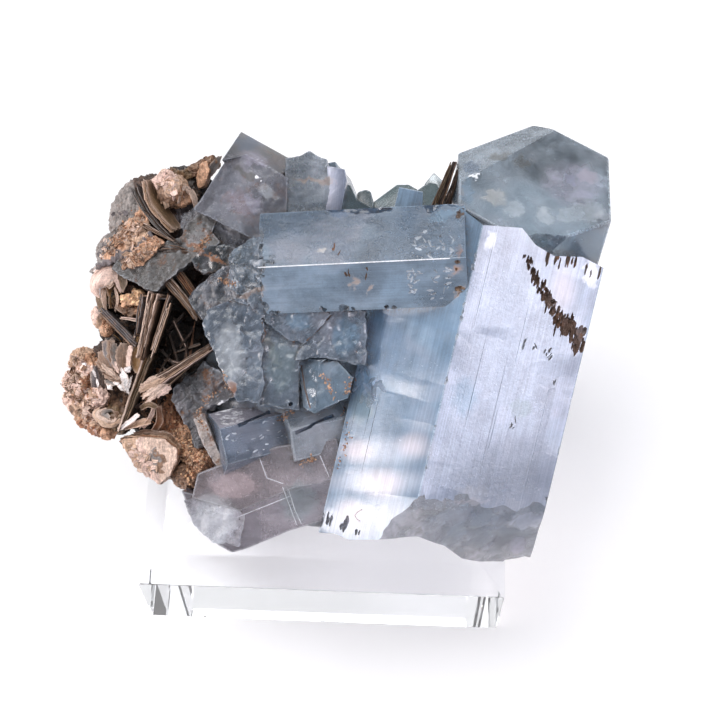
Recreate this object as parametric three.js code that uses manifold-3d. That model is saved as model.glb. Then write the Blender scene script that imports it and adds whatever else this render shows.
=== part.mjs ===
// Aquamarine crystal specimen with brown mica, lying on a clear acrylic display base.
// Millimetres and degrees, +Z up. The origin is the centre of the base's underside.
//
// The specimen is modelled in its own frame: X to the right and Y up its display side, Z out of
// the display side. That frame stands on the middle of the base's top and is tilted back.

import * as THREE from 'three';
import { mergeVertices } from 'three/addons/utils/BufferGeometryUtils.js';
import Module from 'manifold-3d';

const wasm = await Module();
wasm.setup();

// ---------------------------------------------------------------- driving dimensions

const BASE_SIDE = 50.8;
const BASE_HEIGHT = 19;
const BASE_BEVEL = 3.4;
const TILT = 25.5;
const GAP = 0.3;

const CORNER_WEAR = 0.25;
const HALF_SPACE = 90;
const BREAK_SHIFT = 0.32;
const LEAF_OVERLAP = 1.12;

const COLOURS = {
  acrylic: 0xe9eef2,
  beryl: 0x9db4c0,
  mica: 0x7b6450,
  micaPale: 0xa89478,
  matrix: 0x8a6446,
};

// ---------------------------------------------------------------- small tools

const radians = THREE.MathUtils.degToRad;

/** A repeatable number from -1 to 1 that belongs to a point. */
function jitter(x, y, z, seed) {
  const wave = Math.sin(x * 12.71 + y * 31.17 + z * 7.47 + seed * 19.19) * 4375.85;
  return 2 * (wave - Math.floor(wave)) - 1;
}

/** Moves every vertex a little, by up to amount along each axis. */
function roughen(geometry, amount, seed) {
  const place = geometry.attributes.position;
  for (let i = 0; i < place.count; i += 1) {
    const [x, y, z] = [place.getX(i), place.getY(i), place.getZ(i)].map((v) => Math.round(v * 100) / 100);
    place.setXYZ(
      i,
      x + amount * jitter(x, y, z, seed),
      y + amount * jitter(x, y, z, seed + 1),
      z + amount * jitter(x, y, z, seed + 2),
    );
  }
  return geometry;
}

function solidOf(geometry) {
  const bare = geometry.clone();
  bare.deleteAttribute('normal');
  bare.deleteAttribute('uv');
  const merged = mergeVertices(bare, 1e-4);
  const vertProperties = new Float32Array(merged.attributes.position.array);
  const triVerts = new Uint32Array(merged.index.array);
  return new wasm.Manifold(new wasm.Mesh({ numProp: 3, vertProperties, triVerts }));
}

function join(geometries) {
  return geometries.map(solidOf).reduce((whole, piece) => whole.add(piece));
}

function cutAway(geometry, cutters) {
  return cutters.reduce((solid, cutter) => solid.subtract(solidOf(cutter)), solidOf(geometry));
}

function geometryOf(solid) {
  const mesh = solid.getMesh();
  const indexed = new THREE.BufferGeometry();
  indexed.setAttribute('position', new THREE.BufferAttribute(mesh.vertProperties, 3));
  indexed.setIndex(new THREE.BufferAttribute(mesh.triVerts, 1));
  const faceted = indexed.toNonIndexed();
  faceted.computeVertexNormals();
  return faceted;
}

/** The same shape grown about its middle until even its nearest side has moved out by gap. */
function swollen(geometry, gap) {
  const grown = geometry.clone();
  grown.computeBoundingBox();
  const middle = grown.boundingBox.getCenter(new THREE.Vector3());
  const size = grown.boundingBox.getSize(new THREE.Vector3());
  const nearest = Math.min(size.x, size.y, size.z) / 2;
  const factor = 1 + gap / nearest;
  grown.translate(-middle.x, -middle.y, -middle.z);
  grown.scale(factor, factor, factor);
  return grown.translate(middle.x, middle.y, middle.z);
}

/**
 * Stands a geometry's local Z along an axis. lean is the axis's angle from Y towards X, rise is its
 * angle out of the display side. Local X stays across the display side, local Y points into it.
 */
function stand(geometry, { at, lean = 0, rise = 0 }) {
  const [l, r] = [radians(lean), radians(rise)];
  const axis = new THREE.Vector3(Math.sin(l) * Math.cos(r), Math.cos(l) * Math.cos(r), Math.sin(r));
  const out = new THREE.Vector3(0, 0, 1).addScaledVector(axis, -Math.sin(r)).normalize();
  const across = new THREE.Vector3().crossVectors(axis, out);
  const matrix = new THREE.Matrix4().makeBasis(across, out.negate(), axis);
  matrix.setPosition(...at);
  return geometry.applyMatrix4(matrix);
}

// ---------------------------------------------------------------- crystal shapes

/**
 * The six-sided outline of a beryl prism, all corners 120 degrees. It starts at the ridge that
 * faces out, with its first side turned away to the right. Sides four and five close it.
 */
function hexagon(turn, [first, second, third, last]) {
  const sides = [first, second, third, first - third + last, second + third - last];
  const outline = new THREE.Shape().moveTo(0, 0);
  let [x, y] = [0, 0];
  sides.forEach((side, k) => {
    x += side * Math.cos(radians(turn + 60 * k));
    y += side * Math.sin(radians(turn + 60 * k));
    outline.lineTo(x, y);
  });
  return outline;
}

/** A beryl prism whose front ridge passes through at. from and to are its ends along the axis. */
function prism({ at, lean, rise = 0, turn, sides, from, to, wear = CORNER_WEAR }) {
  const geometry = new THREE.ExtrudeGeometry(hexagon(turn, sides), {
    depth: to - from - 2 * wear,
    bevelEnabled: wear > 0,
    bevelThickness: wear,
    bevelSize: wear,
    bevelOffset: -wear,
    bevelSegments: 1,
  });
  geometry.translate(0, 0, from + wear);
  return stand(geometry, { at, lean, rise });
}

/**
 * A block with a many-sided face. The face follows the plane z = level + slope x and y, and the
 * block goes straight back from it.
 */
function slab({ outline, level, slope = [0, 0], depth, wear = CORNER_WEAR }) {
  const shape = new THREE.Shape(outline.map(([x, y]) => new THREE.Vector2(x, y)));
  const geometry = new THREE.ExtrudeGeometry(shape, {
    depth: depth - 2 * wear,
    bevelEnabled: wear > 0,
    bevelThickness: wear,
    bevelSize: wear,
    bevelOffset: -wear,
    bevelSegments: 1,
  });
  geometry.translate(0, 0, level - depth + wear);
  const mean = (axis) => outline.reduce((sum, point) => sum + point[axis], 0) / outline.length;
  const shear = new THREE.Matrix4().set(
    1, 0, 0, 0,
    0, 1, 0, 0,
    slope[0], slope[1], 1, -slope[0] * mean(0) - slope[1] * mean(1),
    0, 0, 0, 1,
  );
  return geometry.applyMatrix4(shear);
}

/** A rough lump inside an ellipsoid. */
function lump({ at, size, turn = 0, detail = 1, rough = 0.16, seed }) {
  const geometry = roughen(new THREE.IcosahedronGeometry(1, detail), rough, seed);
  geometry.scale(size[0] / 2, size[1] / 2, size[2] / 2);
  geometry.rotateZ(radians(turn));
  return geometry.translate(...at);
}

/** What a break takes away: all that lies beyond a bumpy plane through a point. */
function breakAway({ through, lean, rise, bumps, steps = 12, seed }) {
  const size = HALF_SPACE;
  const cutter = new THREE.BoxGeometry(size, size, size / 2, steps, steps, 1);
  cutter.translate(0, 0, size / 4);
  const place = cutter.attributes.position;
  const shift = (BREAK_SHIFT * size) / steps;
  for (let i = 0; i < place.count; i += 1) {
    const [x, y] = [Math.round(place.getX(i) * 100) / 100, Math.round(place.getY(i) * 100) / 100];
    const inside = Math.max(Math.abs(x), Math.abs(y)) < size / 2 - 1e-3;
    if (inside && Math.abs(place.getZ(i)) < 1e-6) {
      const [dx, dy] = [jitter(x, y, 1, seed), jitter(x, y, 2, seed)];
      place.setXYZ(i, x + shift * dx, y + shift * dy, bumps * jitter(x, y, 0, seed));
    }
  }
  return stand(cutter, { at: through, lean, rise });
}

// ---------------------------------------------------------------- mica shapes

/** Puts a geometry's local Y along a line and its local Z as far out as that line lets it. */
function alongLine(geometry, from, to) {
  const [a, b] = [new THREE.Vector3(...from), new THREE.Vector3(...to)];
  const along = b.clone().sub(a).normalize();
  const out = new THREE.Vector3(0, 0, 1).addScaledVector(along, -along.z).normalize();
  const across = new THREE.Vector3().crossVectors(along, out);
  const matrix = new THREE.Matrix4().makeBasis(across, along, out);
  matrix.setPosition(a.add(b).multiplyScalar(0.5));
  return geometry.applyMatrix4(matrix);
}

/** A book of mica seen on edge: leaves side by side across, each reaching depth inwards. */
function sheaf({ from, to, across, depth, leaves, roll = 0, seed }) {
  const length = new THREE.Vector3(...from).distanceTo(new THREE.Vector3(...to));
  return Array.from({ length: leaves }, (_, k) => {
    const share = 1 - 0.1 * Math.abs(jitter(k, 3, 0, seed));
    const inwards = depth * (1 - 0.18 * Math.abs(jitter(k, 7, 0, seed)));
    const leaf = new THREE.BoxGeometry((LEAF_OVERLAP * across) / leaves, length * share, inwards, 1, 2, 1);
    leaf.translate(0, 0, -inwards / 2);
    roughen(leaf, 0.09 * (across / leaves) + 0.06, seed + 5 * k);
    const sideways = ((k + 0.5) / leaves - 0.5) * across;
    leaf.translate(sideways, 0.04 * length * jitter(k, 5, 0, seed), 0.12 * jitter(k, 9, 0, seed));
    leaf.rotateY(radians(roll));
    return alongLine(leaf, from, to);
  });
}

/** One thick leaf of mica with a torn outline. Its flat side faces along lean and rise. */
function leaf({ at, lean, rise, radii, thickness = 0.5, corners = 6, turn = 0, seed }) {
  const outline = Array.from({ length: corners }, (_, k) => {
    const angle = radians(turn + (360 * k) / corners);
    const reach = 1 + 0.22 * jitter(k, 1, 0, seed);
    return new THREE.Vector2(radii[0] * reach * Math.cos(angle), radii[1] * reach * Math.sin(angle));
  });
  const plate = new THREE.ExtrudeGeometry(new THREE.Shape(outline), {
    depth: thickness, bevelEnabled: false,
  });
  return stand(plate.translate(0, 0, -thickness / 2), { at, lean, rise });
}

// ---------------------------------------------------------------- the aquamarine

/** A prism-deep block along a many-sided outline, for cutting with. */
function trim(outline) {
  return slab({ outline, level: HALF_SPACE / 2, depth: HALF_SPACE, wear: 0 });
}

const MAIN = {
  at: [16.2, 8, 26],
  lean: 11.2,
  rise: 3.4,
  turn: 27,
  sides: [19, 13.5, 16, 13.7],
  from: -30,
  to: 20,
};

/** The large striated prism at the right, with its broken foot and its stepped top. */
function mainPrism() {
  const body = prism(MAIN);
  const foot = breakAway({ through: [19, -13, 19], lean: 157, rise: 43, bumps: 0.5, steps: 22, seed: 3 });
  const below = trim([
    [-6, -15.6], [2, -15.3], [4, -15.9], [8, -15.4], [13, -15.2], [16.5, -16.6], [19, -18.6],
    [22, -19.1], [28.6, -19.5], [34, -12], [34, -40], [-6, -40],
  ]);
  const above = trim([
    [12, 26.5], [16.4, 27.6], [19.6, 25], [24.7, 25], [26.6, 23], [29.1, 21.8], [33, 21.9],
    [36.2, 20.6], [45, 19], [45, 45], [12, 45],
  ]);
  return cutAway(body, [foot, below, above, ...rustPits()]);
}

/** Shallow rusty pits in the large prism's right face: across it, up it from MAIN.at, and size. */
const PITS = [
  [7.6, 14.2, 1.1], [9.2, 12.5, 1.3], [11, 11.4, 1.5], [12.6, 9.2, 1.9], [14.2, 7.4, 2],
  [16.2, 7.6, 1.9], [17.6, 7, 2], [18.4, 5, 1.5], [11.6, 4, 1.2], [15.4, 1.8, 1],
];

function rustPits() {
  const [cos, sin] = [Math.cos(radians(MAIN.turn)), Math.sin(radians(MAIN.turn))];
  return PITS.map(([across, up, size], k) => {
    const pit = lump({
      at: [0, 0, 0], size: [size, 0.9 * size, 1.9 * size], detail: 0, rough: 0.3, seed: 40 + k,
    });
    return stand(pit.translate(across * cos, across * sin, up), MAIN);
  });
}

const UPPER_BLOCK = {
  at: [26.6, 22.8, 22],
  lean: 6.9,
  rise: 53.1,
  turn: 34,
  sides: [11.7, 11.7, 11.7, 11.7],
  from: -34,
  to: 0,
  wear: 0.35,
};

/** The frosted six-sided block above it, its lower right corner broken off. */
function upperBlock() {
  const body = prism(UPPER_BLOCK);
  const corner = breakAway({
    through: [31, 24.6, 20], lean: 172, rise: 50, bumps: 0.3, steps: 24, seed: 8,
  });
  return cutAway(body, [corner]);
}

/** Beryl prisms with plain ends. */
const PRISMS = {
  horizontal: {
    at: [3.8, 19.7, 27.6], lean: 85.7, rise: 4.6, turn: 31, sides: [6.8, 8, 7, 8.2],
    from: -12.5, to: 13.8, wear: 0.6,
  },
  small: {
    at: [-13.3, -2, 20.5], lean: -105, rise: 24, turn: 58, sides: [4.2, 4, 4.2, 4.7], from: -14, to: 0,
  },
  besideSmall: {
    at: [-4.2, -1.9, 19.6], lean: -105, rise: 16, turn: 40, sides: [3.5, 4, 4.2, 4.4], from: -8, to: 0,
  },
  rearLeft: { at: [-6, 30, 6], lean: -24, rise: -20, turn: 20, sides: [8, 7, 8, 7], from: -18, to: 4 },
  rearMiddle: { at: [9, 25, 8], lean: 12, rise: -32, turn: 35, sides: [7, 8, 7, 8], from: -16, to: 6 },
};

/** Beryl blocks known by their faces. */
const BLOCKS = {
  upperLeft: {
    outline: [[-11.2, 34], [-6.5, 31.4], [-6.7, 22.9], [-9.9, 22.8], [-17.8, 26.5], [-14, 32.8]],
    level: 19.4, slope: [0.06, 0.04], depth: 13,
  },
  upperLeftEnd: {
    outline: [[-12.5, 37.6], [-5.4, 34], [-6.5, 31.2], [-11.2, 33.8], [-14, 32.6]],
    level: 17.8, slope: [-0.8, -1.45], depth: 12, wear: 0.15,
  },
  besideIt: {
    outline: [[-6.4, 22.9], [-5.9, 33.5], [-2.7, 34.6], [-0.9, 33.4], [0, 30.6], [-1, 25.2], [-3.8, 22.9]],
    level: 19, slope: [-0.04, 0.02], depth: 12,
  },
  besideItEdge: {
    outline: [[-0.6, 32.8], [1.7, 32.6], [2, 31.2], [1.4, 27.3], [-1.2, 25.1], [-0.4, 29]],
    level: 18.2, slope: [-0.7, 0.1], depth: 11, wear: 0.15,
  },
  greyGreen: {
    outline: [
      [-27.3, 19.1], [-26.4, 16.8], [-22.8, 15.6], [-18.7, 19.4], [-13.6, 22.5], [-19.4, 26.4],
      [-20, 23.7], [-23.9, 21.4],
    ],
    level: 17, slope: [0.12, -0.1], depth: 13,
  },
  darkTeal: {
    outline: [
      [-18.6, 19.6], [-17.3, 17.8], [-14.8, 17.4], [-11, 19.4], [-8.6, 21.2], [-12, 22.4],
      [-16.2, 22.4],
    ],
    level: 18.4, slope: [0.25, 0.1], depth: 9,
  },
  behindLeft: {
    outline: [[-1, 22], [1, 31.4], [2.3, 31.2], [3.3, 29.2], [6.2, 27.8], [7.4, 22]],
    level: 13, slope: [-0.3, -0.35], depth: 11, wear: 0.15,
  },
  behindKnob: {
    outline: [[2.8, 27], [3.3, 30.4], [4.4, 30.8], [5.1, 30.5], [5.6, 28.8], [5.4, 26]],
    level: 11.4, slope: [0.1, -0.4], depth: 9, wear: 0.3,
  },
  behindRight: {
    outline: [[6.6, 22], [4.9, 28.6], [6.1, 29.6], [8.6, 31.6], [10.2, 31.6], [11.4, 30.9], [12, 24]],
    level: 12, slope: [0.3, -0.45], depth: 12, wear: 0.15,
  },
  behindEnd: {
    outline: [[9, 23], [10, 29.6], [12.2, 31.4], [13.1, 31.9], [13.9, 31.8], [15.2, 30.4], [17, 24]],
    level: 12.6, slope: [-0.2, -0.35], depth: 12, wear: 0.15,
  },
  clearTip: {
    outline: [[11.9, 29], [12.4, 32], [13.6, 33.6], [14.9, 32.4], [15, 29]],
    level: 9.6, slope: [0.1, -0.3], depth: 8, wear: 0.15,
  },
  bluish: {
    outline: [[-3.3, 7.2], [-2.6, 1.2], [-1, 0.2], [1, 1.6], [3.4, 2.4], [3.8, 5.4], [1.2, 7.6]],
    level: 21, slope: [0.1, -0.12], depth: 8, wear: 0.5,
  },
  clearUpper: {
    outline: [
      [-16.3, -8.1], [-13, -6.7], [-5.8, -4.1], [1.9, -2.8], [3, -8.5], [-3.4, -9.6], [-10.6, -13],
      [-17, -11.4],
    ],
    level: 17.4, slope: [-0.1, 0.18], depth: 9,
  },
  clearLower: {
    outline: [
      [-18.5, -10.5], [-10.6, -12.4], [-3.4, -9.4], [2.4, -7.8], [0.6, -13.9], [-3.8, -15.3],
      [-9.7, -18], [-11.6, -18.6], [-13.5, -17.6], [-16.2, -15.6],
    ],
    level: 16.4, slope: [-0.05, 0.1], depth: 8,
  },
};

/** Rough beryl without faces of its own. */
const ROUGH = {
  dark: { at: [-16.2, 1.6, 13], size: [9.4, 9, 9], turn: 20, rough: 0.16, seed: 5 },
  underHorizontal: { at: [-12, 16.6, 18], size: [9, 7, 9], seed: 6 },
  heart: { at: [-4, 6, 9], size: [25, 27, 18], rough: 0.12, seed: 7 },
  heartTop: { at: [-3, 19, 4], size: [25, 17, 22], rough: 0.14, seed: 9 },
  heartFoot: { at: [-2, -8, 12], size: [18, 14, 8], seed: 10 },
};

/** The rough grey mass in the middle: a block whose face is all broken. */
const middleBlock = slab({
  outline: [
    [-14.6, 12], [-12.8, 14.8], [-10, 16.4], [-6.4, 17], [-1.4, 15.4], [5.9, 14.3], [5, 9.5],
    [3.8, 5.5], [1.3, 7.6], [-3.3, 7.2], [-3.1, 0.8], [-10.6, 1.5], [-11, 3.8], [-12.6, 5.7],
    [-13.2, 8.2], [-14.3, 10],
  ],
  level: 24,
  depth: 12,
  wear: 0,
});

function middleMass() {
  const face = breakAway({
    through: [-5, 9, 22.8], lean: 90, rise: 78, bumps: 0.75, steps: 34, seed: 12,
  });
  return cutAway(middleBlock, [face]);
}

const crystals = [
  ...Object.values(PRISMS).map(prism),
  ...Object.values(BLOCKS).map(slab),
  ...Object.values(ROUGH).map(lump),
];

/** All below the specimen's rough underside, just clear of the base. */
const below = breakAway({
  through: [0, GAP * Math.sin(radians(TILT)), GAP * Math.cos(radians(TILT))],
  lean: 180, rise: TILT - 90, bumps: 0, steps: 24, seed: 14,
});

const cluster = join(crystals)
  .add(mainPrism())
  .add(upperBlock())
  .add(middleMass())
  .subtract(solidOf(below));

// ---------------------------------------------------------------- matrix and mica

/** The brown granular matrix that the mica grows from. */
const MATRIX = [
  { at: [-20, 6, 4], size: [18.6, 25, 11.4], rough: 0.16, seed: 21 },
  { at: [-19.2, -4.4, 10.6], size: [6, 7, 7], rough: 0.26, seed: 22 },
  { at: [-16.4, -6.2, 13], size: [5, 5, 6], rough: 0.26, seed: 24 },
  { at: [-18.4, -8.8, 12], size: [5, 4, 6], rough: 0.26, seed: 25 },
  { at: [-21.6, -1, 10], size: [5, 6, 7], rough: 0.26, seed: 26 },
  { at: [-20, 20, 6], size: [15, 14, 16], rough: 0.2, seed: 23 },
];

const UPPER_MICA = [
  slab({
    outline: [
      [-31.9, 18.4], [-30.6, 21.2], [-30.2, 23.7], [-28.6, 25], [-28.1, 28.9], [-26.4, 29.6],
      [-19.8, 22.2], [-24, 21.2], [-27.7, 19.2],
    ],
    level: 15.4, slope: [0.22, 0.05], depth: 5,
  }),
  ...sheaf({
    from: [-26.4, 29.4, 17], to: [-23.8, 25.4, 17.6], across: 1.5, depth: 7, leaves: 3, roll: -25,
    seed: 31,
  }),
  ...sheaf({
    from: [-24.2, 26.2, 17.6], to: [-19.4, 21.6, 18.2], across: 1.7, depth: 7, leaves: 3, roll: -25,
    seed: 32,
  }),
  leaf({ at: [-22.6, 27, 15], lean: 128, rise: 62, radii: [2.2, 4.6], thickness: 2.4, seed: 33 }),
  lump({ at: [-22.6, 29.6, 15.6], size: [4.6, 4.2, 6], seed: 34 }),
  lump({ at: [-19.8, 28.8, 16], size: [5.2, 4.4, 6], turn: -30, seed: 35 }),
  lump({ at: [-19.8, 32, 11.6], size: [5.6, 2.4, 7], detail: 0, seed: 36 }),
  lump({ at: [-17, 31.2, 12.8], size: [2.4, 4.8, 7], turn: -20, detail: 0, seed: 37 }),
  lump({ at: [-20.4, 27, 10], size: [10, 10, 9], detail: 0, seed: 38 }),
];

const CURVED_BOOK = [
  leaf({ at: [-29.6, 17, 14], lean: -70, rise: 30, radii: [3, 3.6], thickness: 0.9, seed: 41 }),
  leaf({ at: [-28.6, 16.4, 13], lean: -60, rise: 20, radii: [3, 3.2], thickness: 0.8, seed: 42 }),
  lump({ at: [-26.4, 14.6, 13], size: [4.2, 4, 6], seed: 43 }),
];

const LOWER_MICA = [
  ...sheaf({
    from: [-30.4, 13.4, 15.4], to: [-25.2, 8.6, 16.6], across: 1.1, depth: 5, leaves: 2, seed: 44,
  }),
  ...sheaf({
    from: [-25.4, 8.4, 16.4], to: [-23.9, 12.4, 16.8], across: 0.8, depth: 5, leaves: 2, seed: 45,
  }),
  lump({ at: [-30.6, 11.6, 12.6], size: [3, 4.4, 5], detail: 0, seed: 47 }),
  lump({ at: [-32.6, 5.2, 12], size: [4.4, 5, 5], rough: 0.3, seed: 48 }),
  lump({ at: [-34, 2.2, 11.6], size: [4.4, 4.6, 5], rough: 0.3, seed: 57 }),
  lump({ at: [-31.4, 0, 11.8], size: [5.4, 5, 6], rough: 0.3, detail: 0, seed: 49 }),
  lump({ at: [-29, -2, 12.4], size: [4.4, 5, 5], rough: 0.3, seed: 50 }),
  lump({ at: [-27.4, 2.6, 8.8], size: [13, 14, 7], rough: 0.2, seed: 51 }),
];

/** The fan of leaves at the far left: they spread round a place near its middle. */
function fanLeaf(k) {
  const angle = 150 - 22 * k;
  const [dx, dy] = [Math.cos(radians(angle)), Math.sin(radians(angle))];
  return leaf({
    at: [-27 + 2.6 * dx, 3.6 + 3 * dy, 13.6 + 0.3 * k],
    lean: 90 - angle,
    rise: 24 + 9 * (k % 3),
    radii: [2.4, 3.6],
    thickness: 0.55,
    turn: 20 * k,
    seed: 70 + k,
  });
}

const FAN = Array.from({ length: 7 }, (_, k) => fanLeaf(k));

const FINE_MICA = [
  ...sheaf({
    from: [-23.2, 7, 17.2], to: [-26.8, -2.8, 16.4], across: 0.9, depth: 6, leaves: 2, roll: 30,
    seed: 52,
  }),
  ...sheaf({
    from: [-26, -2.2, 15], to: [-23.4, 0, 15.6], across: 0.9, depth: 4, leaves: 2, roll: -40, seed: 53,
  }),
  ...sheaf({
    from: [-23.2, -2.4, 14.6], to: [-22.4, 0.6, 14.8], across: 1, depth: 4, leaves: 2, roll: 20,
    seed: 54,
  }),
];

const RUSTY_PLATES = sheaf({
  from: [-20.6, 18.2, 17], to: [-16.9, 12.6, 15.4], across: 1.4, depth: 8, leaves: 3, roll: 12, seed: 46,
});

const UPRIGHT_BLADE = sheaf({
  from: [-21, 14.6, 20], to: [-23.8, 7.4, 19.6], across: 2.7, depth: 6, leaves: 4, seed: 55,
});

const LONG_BLADE = sheaf({
  from: [-14.9, 8.2, 18.4], to: [-24.2, 1.6, 19.2], across: 1.7, depth: 2.6, leaves: 3, seed: 56,
});

const HEXAGONAL_BOOK = [
  slab({
    outline: [
      [-27.4, -4.4], [-24.4, -3.7], [-21.2, -4], [-19.4, -5.2], [-19.5, -6.6], [-20.4, -8.6],
      [-21.9, -9.9], [-25, -7.9],
    ],
    level: 15.6, slope: [0.2, 0.25], depth: 1.8,
  }),
  slab({
    outline: [
      [-27.6, -4], [-24.3, -3.3], [-20.9, -3.5], [-19, -5.1], [-19.2, -6.9], [-20.2, -9],
      [-21.8, -10.2], [-25.3, -8],
    ],
    level: 14.2, slope: [0.2, 0.25], depth: 2.4, wear: 0,
  }),
  slab({
    outline: [
      [-26.6, -3.9], [-24, -3.1], [-20.8, -3.2], [-19.2, -5.1], [-19.6, -7.4], [-21, -9.4],
      [-24.6, -7.4],
    ],
    level: 12.2, slope: [0.2, 0.25], depth: 3, wear: 0,
  }),
];

const TOP_BOOK = sheaf({
  from: [14.4, 28.2, 13], to: [16.6, 34.8, 13.8], across: 2.8, depth: 6, leaves: 4, roll: -20, seed: 58,
});

/** The largest body of a solid, without the crumbs that a cut leaves loose. */
function largestBody(solid) {
  return solid.decompose().reduce((best, body) => (body.volume() > best.volume() ? body : best));
}

/** A node's pieces joined, cut clear of the base and of the pieces that it leans on. */
function seated(pieces, neighbours) {
  const cutters = neighbours.map((neighbour) => solidOf(swollen(neighbour, GAP)));
  const cut = cutters.reduce((solid, cutter) => solid.subtract(cutter), join(pieces));
  return largestBody(cut.subtract(solidOf(below)));
}

const beryl = [...crystals, prism(MAIN), prism(UPPER_BLOCK), middleBlock];
const matrix = MATRIX.map(lump);
const blades = [...UPRIGHT_BLADE, ...LONG_BLADE, ...RUSTY_PLATES, ...HEXAGONAL_BOOK];
const books = {
  brown_matrix: [matrix, beryl, COLOURS.matrix],
  mica_upper_books: [UPPER_MICA, [...beryl, ...matrix], COLOURS.mica],
  mica_upright_blade: [UPRIGHT_BLADE, [...beryl, ...matrix], COLOURS.micaPale],
  mica_long_blade: [LONG_BLADE, [...beryl, ...matrix, ...UPRIGHT_BLADE], COLOURS.micaPale],
  mica_rusty_plates: [RUSTY_PLATES, [...beryl, ...matrix, ...UPPER_MICA], COLOURS.mica],
  mica_hexagonal_book: [HEXAGONAL_BOOK, [...beryl, ...matrix], COLOURS.micaPale],
  mica_curved_book: [CURVED_BOOK, [...beryl, ...matrix, ...UPPER_MICA], COLOURS.mica],
  mica_lower_books: [
    [...LOWER_MICA, ...FAN, ...FINE_MICA],
    [...beryl, ...matrix, ...UPPER_MICA, ...blades, ...CURVED_BOOK],
    COLOURS.mica,
  ],
  mica_top_book: [TOP_BOOK, beryl, COLOURS.mica],
};

// ---------------------------------------------------------------- the display base

function acrylicBase() {
  const inset = BASE_BEVEL;
  const flat = BASE_SIDE / 2;
  const outline = new THREE.Shape([
    new THREE.Vector2(-flat, -flat),
    new THREE.Vector2(flat, -flat),
    new THREE.Vector2(flat, flat),
    new THREE.Vector2(-flat, flat),
  ]);
  const block = new THREE.ExtrudeGeometry(outline, {
    depth: BASE_HEIGHT - inset,
    bevelEnabled: true,
    bevelThickness: inset,
    bevelSize: inset,
    bevelOffset: -inset,
    bevelSegments: 1,
  });
  const below = new THREE.BoxGeometry(2 * BASE_SIDE, 2 * BASE_SIDE, 4 * inset).translate(0, 0, -2 * inset);
  return geometryOf(solidOf(block).subtract(solidOf(below)));
}

// ---------------------------------------------------------------- scene graph

function material(colour, roughness, clear = false) {
  return new THREE.MeshStandardMaterial({
    color: colour,
    roughness,
    metalness: 0,
    transparent: clear,
    opacity: clear ? 0.4 : 1,
  });
}

function piece(name, geometry, look) {
  const mesh = new THREE.Mesh(geometry, look);
  mesh.name = name;
  return mesh;
}

const specimen = new THREE.Group();
specimen.position.set(0, 0, BASE_HEIGHT);
specimen.rotation.x = radians(TILT);
specimen.add(piece('aquamarine_cluster', geometryOf(cluster), material(COLOURS.beryl, 0.25)));
for (const [name, [pieces, neighbours, colour]] of Object.entries(books)) {
  specimen.add(piece(name, geometryOf(seated(pieces, neighbours)), material(colour, 0.6)));
}

const part = new THREE.Group();
part.add(piece('acrylic_base', acrylicBase(), material(COLOURS.acrylic, 0.03, true)));
part.add(specimen);

export default part;
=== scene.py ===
"""An aquamarine crystal specimen with brown mica, lying on a clear acrylic display base.

The specimen is modelled in millimetres in its own frame: X to the right and Y up its display side,
Z out of the display side. Each finished piece is then tilted back, set on the base and scaled to metres.
"""

import math
import random

import bpy
from mathutils import Matrix, Vector, geometry, noise
from mathutils.bvhtree import BVHTree


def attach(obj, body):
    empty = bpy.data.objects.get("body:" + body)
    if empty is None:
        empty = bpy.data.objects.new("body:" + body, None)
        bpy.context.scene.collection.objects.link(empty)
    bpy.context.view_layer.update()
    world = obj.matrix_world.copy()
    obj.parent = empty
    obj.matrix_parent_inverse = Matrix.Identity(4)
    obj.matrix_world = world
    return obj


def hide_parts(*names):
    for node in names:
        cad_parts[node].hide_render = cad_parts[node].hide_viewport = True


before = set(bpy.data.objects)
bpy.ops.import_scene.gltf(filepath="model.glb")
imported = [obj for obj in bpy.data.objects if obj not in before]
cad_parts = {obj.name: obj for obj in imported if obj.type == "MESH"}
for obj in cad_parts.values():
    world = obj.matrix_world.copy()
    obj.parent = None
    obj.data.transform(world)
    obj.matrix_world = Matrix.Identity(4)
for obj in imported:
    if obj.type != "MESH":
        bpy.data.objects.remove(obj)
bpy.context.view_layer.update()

# ------------------------------------------------------------------ driving dimensions

MM = 0.001
BASE_HEIGHT = 19
TILT = 25.5
EDGE_WEAR = 0.22
SEAT_GAP = 0.3
NOISE_SEED = 5
SPECIMEN = (
    Matrix.Scale(MM, 4)
    @ Matrix.Translation((0, 0, BASE_HEIGHT))
    @ Matrix.Rotation(math.radians(TILT), 4, "X")
)

# Vector noise follows the clock unless it is given a seed.
noise.seed_set(NOISE_SEED)


# ------------------------------------------------------------------ camera and studio


def camera_axes(elevation, yaw):
    """The directions from the subject to the camera, to the camera's right and up."""
    e, y = math.radians(elevation), math.radians(yaw)
    toward = Vector((-math.sin(y) * math.cos(e), -math.cos(y) * math.cos(e), math.sin(e)))
    right = Vector((math.cos(y), -math.sin(y), 0))
    return toward, right, toward.cross(right)


CAMERA_PLACE = Vector((9.037, -88.304, 221.958)) * MM
CAMERA_ELEVATION = 64.5
CAMERA_YAW = -2.93
CAMERA_ROLL = -0.68
LENS = 77.4


def add_camera():
    toward, right, up = camera_axes(CAMERA_ELEVATION, CAMERA_YAW)
    roll = math.radians(CAMERA_ROLL)
    across = right * math.cos(roll) + up * math.sin(roll)
    upward = up * math.cos(roll) - right * math.sin(roll)
    data = bpy.data.cameras.new("studio_camera")
    data.sensor_width = 36
    data.lens = LENS
    data.clip_start = 0.01
    camera = bpy.data.objects.new("studio_camera", data)
    bpy.context.scene.collection.objects.link(camera)
    turned = Matrix((across, upward, toward)).transposed().to_4x4()
    camera.matrix_world = Matrix.Translation(CAMERA_PLACE) @ turned
    bpy.context.scene.camera = camera


AIM = Vector((0.008, -0.004, 0.04))


def heading(azimuth, elevation):
    """The direction at an azimuth, from +Y towards +X, and an elevation."""
    a, e = math.radians(azimuth), math.radians(elevation)
    return Vector((math.sin(a) * math.cos(e), math.cos(a) * math.cos(e), math.sin(e)))


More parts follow.
